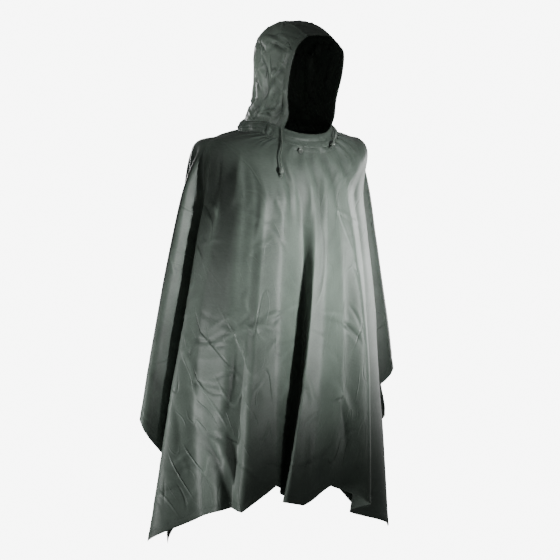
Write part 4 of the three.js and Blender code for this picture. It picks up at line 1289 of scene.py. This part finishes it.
def cord_lock(name, foot, axis):
    """A barrel with finger ribs and a button, turned about the cord."""
    across, ahead, up = frame_along(axis)
    points = []
    for r, h in LOCK_OUTLINE:
        for k in range(LOCK_SIDES):
            angle = 2 * math.pi * k / LOCK_SIDES
            rib = RIB_DEPTH if (k % 4 < 2 and 1.5 < h < 9.5 and r > 5.4) else 0
            points.append(foot + up * h + (across * math.cos(angle) + ahead * math.sin(angle)) * (r - rib))
    return plain_piece(name, points, ring_faces(len(LOCK_OUTLINE), LOCK_SIDES, closed=True), LOCK_MATERIAL)


def cord_knot(name, centre, axis):
    """A tight overhand knot: a tube on a pulled-in trefoil line."""
    across, ahead, up = frame_along(axis)
    t = np.linspace(0, 2 * np.pi, 90, endpoint=False)
    x = np.sin(t) + 1.55 * np.sin(2 * t)
    y = np.cos(t) - 1.55 * np.cos(2 * t)
    z = -np.sin(3 * t)
    line = centre + (x[:, None] * across + y[:, None] * ahead) * 0.85 + z[:, None] * up * 1.5
    line = np.vstack((line, line[:1]))
    along = np.gradient(line, axis=0)
    along /= np.linalg.norm(along, axis=1)[:, None]
    one_way = np.cross(along, (0.2, 0.9, 0.1))
    one_way /= np.linalg.norm(one_way, axis=1)[:, None]
    other_way = np.cross(along, one_way)
    angle = np.linspace(0, 2 * np.pi, KNOT_SIDES, endpoint=False)[:, None]
    ring = one_way[:, None] * np.cos(angle) + other_way[:, None] * np.sin(angle)
    points = (line[:, None] + ring * KNOT_RADIUS).reshape(-1, 3)
    faces = ring_faces(len(line), KNOT_SIDES)
    end = (len(line) - 1) * KNOT_SIDES
    faces += [tuple(range(KNOT_SIDES))[::-1], tuple(end + k for k in range(KNOT_SIDES))]
    return plain_piece(name, points, faces, CORD_MATERIAL)


for side, (over_band, over_body) in CORDS.items():
    path = cord_path(over_band, over_body)
    axis = path[-4] - path[-1]
    axis /= np.linalg.norm(axis)
    curve = bpy.data.curves.new(f"cord_{side}", "CURVE")
    curve.dimensions = "3D"
    curve.bevel_depth = CORD_RADIUS * MM
    curve.bevel_resolution = 4
    curve.use_fill_caps = True
    spline = curve.splines.new("POLY")
    spline.points.add(len(path) - 1)
    for point, spot in zip(spline.points, path):
        point.co = (*(spot * MM), 1)
    curve.materials.append(CORD_MATERIAL)
    cord = add_object(f"cord_{side}", curve)
    knot = cord_knot(f"cord_{side}_knot", path[-1] + axis * (CORD_TAIL + KNOT_LENGTH / 2), axis)
    lock = cord_lock(f"cord_{side}_lock", path[-1] + axis * (CORD_TAIL + KNOT_LENGTH + SEAM_GAP), axis)
    for piece, slot in ((cord, "cord"), (knot, "cord"), (lock, "lock_plastic")):
        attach(piece, "root")
    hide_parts(f"drawcord_{side}")
    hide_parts(f"cord_lock_{side}")

# %% [markdown]
# Stitches
#
# Lockstitched polyester thread holds the hems, the casings and the seams. Every row is a line of
# points on a panel, and Geometry Nodes lay one short round bar of thread on it every 4.4 mm,
# turned along the line. Real thread is 0.3 mm thick, and here it is 0.6, so that it shows.

# %% Stitch rows
STITCH_SIZES = {"Spacing": 0.0044, "Stitch Length": 0.0032, "Thread": 0.0006}  # metres


def polyester_thread():
    material, tree = new_material("polyester_thread")
    finish_surface(tree, add_node(
        tree, "ShaderNodeBsdfPrincipled", Base_Color=linear("#56625a"), Roughness=0.55, Sheen_Weight=0.3))
    return material


def stitch_tree(material):
    tree = bpy.data.node_groups.new("stitch_row", "GeometryNodeTree")
    tree.interface.new_socket("Rows", in_out="INPUT", socket_type="NodeSocketGeometry")
    for name in STITCH_SIZES:
        tree.interface.new_socket(name, in_out="INPUT", socket_type="NodeSocketFloat")
    tree.interface.new_socket("Stitches", in_out="OUTPUT", socket_type="NodeSocketGeometry")
    given = tree.nodes.new("NodeGroupInput").outputs
    line = add_node(tree, "GeometryNodeMeshToCurve", Mesh=given["Rows"])
    points = add_node(
        tree, "GeometryNodeResampleCurve", {"mode": "LENGTH"}, Curve=line, Length=given["Spacing"])
    radius = add_node(tree, "ShaderNodeMath", TIMES, n0=given["Thread"], n1=0.5)
    bar = add_node(
        tree, "GeometryNodeMeshCylinder", Vertices=6, Radius=radius, Depth=given["Stitch Length"])
    tangent = add_node(tree, "GeometryNodeInputTangent")
    turn = add_node(tree, "FunctionNodeAlignRotationToVector", {"axis": "Z"}, Vector=tangent)
    laid = add_node(tree, "GeometryNodeInstanceOnPoints", Points=points, Instance=bar, Rotation=turn)
    real = add_node(tree, "GeometryNodeRealizeInstances", Geometry=laid)
    coloured = add_node(tree, "GeometryNodeSetMaterial", Geometry=real, Material=material)
    output = tree.nodes.new("NodeGroupOutput")
    tree.links.new(coloured.outputs[0], output.inputs["Stitches"])
    return tree


STITCHES = stitch_tree(polyester_thread())


def stitched(name, rows, closed=False):
    """One piece with the stitches of several rows of points in mm."""
    points, edges = [], []
    for row in rows:
        first = len(points)
        points += (np.asarray(row) * MM).tolist()
        edges += [(i, i + 1) for i in range(first, len(points) - 1)]
        if closed:
            edges.append((len(points) - 1, first))
    mesh = bpy.data.meshes.new(name)
    mesh.from_pydata(points, edges, [])
    guide = add_object(name + "_guide", mesh)
    modifier = guide.modifiers.new("stitches", "NODES")
    modifier.node_group = STITCHES
    for item in STITCHES.interface.items_tree:
        if item.name in STITCH_SIZES:
            modifier[item.identifier] = STITCH_SIZES[item.name]
    graph = bpy.context.evaluated_depsgraph_get()
    made = bpy.data.meshes.new_from_object(guide.evaluated_get(graph), depsgraph=graph)
    guide.modifiers.clear()
    bpy.data.objects.remove(guide)
    made.name = name
    piece = add_object(name, made)
    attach(piece, "root")
    print(name, len(made.polygons), "faces")
    return piece


def lifted(grid, closed=False):
    """The outer face of a panel, where stitches lie."""
    return grid + grid_normals(grid, closed) * (CLOTH_THICKNESS / 2 + 0.2)


def across_columns(grid, run, gap, from_end=False):
    """The line across a body panel's columns at a distance from their start or end."""
    return np.array([
        at_distance(column, along, along[-1] - gap if from_end else gap) for column, along in zip(grid, run)
    ])


front_face, back_face, band_face = lifted(front_grid), lifted(back_grid), lifted(band_grid, closed=True)
with_facing = np.abs(np.degrees(front_turn) - FACING_MIDDLE) < FACING_REACH
front_stitches = stitched("front_stitches", [
    across_columns(front_face, front_run, HEM_STITCHES, from_end=True),
    across_columns(front_face, front_run, FACING_STITCHES)[with_facing],
    across_columns(front_face, front_run, FACING_STITCHES - 3)[with_facing],
])
back_stitches = stitched("back_stitches", [across_columns(back_face, back_run, HEM_STITCHES, from_end=True)])
band_stitches = stitched("band_stitches", [band_face[:, row] for row in (3, 11, 19)], closed=True)


def side_rows(grid, side):
    """The rows on a hood side: its face casing, beside the seam to the crown strip, and at its foot."""
    face = lifted(grid)
    if side < 0:
        face = face[::-1]
    brim = round(CASING_STITCHES / PANEL_WIDE * SIDE_COLUMNS)
    seam = round(5 / PANEL_WIDE * SIDE_COLUMNS)
    top = round(5 / PANEL_HIGH * SIDE_ROWS)
    return [face[brim], face[-seam], face[:, top], face[:, -4]]


right_stitches = stitched("hood_right_stitches", side_rows(right_grid, -1))
left_stitches = stitched("hood_left_stitches", side_rows(left_grid, 1))
crown_face = lifted(crown)
brim_row = int(np.searchsorted(crown_run, crown_run[-1] - CASING_STITCHES))
crown_stitches = stitched("crown_stitches", [crown_face[:, brim_row], crown_face[:, 3]])

# %% [markdown]
# What each sheet was cut to
#
# The body's two halves come from one rectangle of 1.45 by 2 m with a hole for the neck. The hood's
# sides are shaped.

# %% [markdown]
# The press stud
#
# The cap of a press stud is a small dished disc of nickel-plated brass, rolled over at its rim.
# Its solid already has that shape, so it stays and gets a worn metal finish.

# %% Press stud finish
def worn_nickel():
    material, tree = new_material("nickel_plated_brass")
    place = add_node(tree, "ShaderNodeTexCoord").outputs["Object"]
    marks = add_node(tree, "ShaderNodeTexNoise", Vector=place, Scale=700.0, Detail=5.0)
    tone = add_node(tree, "ShaderNodeMix", COLOUR, n0=marks, n6=linear("#6d756e"), n7=linear("#a9b0a9"))
    rough = add_node(tree, "ShaderNodeMapRange", Value=marks, To_Min=0.3, To_Max=0.5)
    bump = add_node(tree, "ShaderNodeBump", Strength=0.2, Distance=0.0002, Height=marks)
    finish_surface(tree, add_node(
        tree, "ShaderNodeBsdfPrincipled", Base_Color=tone.outputs[2], Metallic=0.9,
        Roughness=rough, Normal=bump,
    ))
    return material


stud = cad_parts["neck_snap"]
stud.data.materials.clear()
stud.data.materials.append(worn_nickel())
print("press stud keeps its solid")
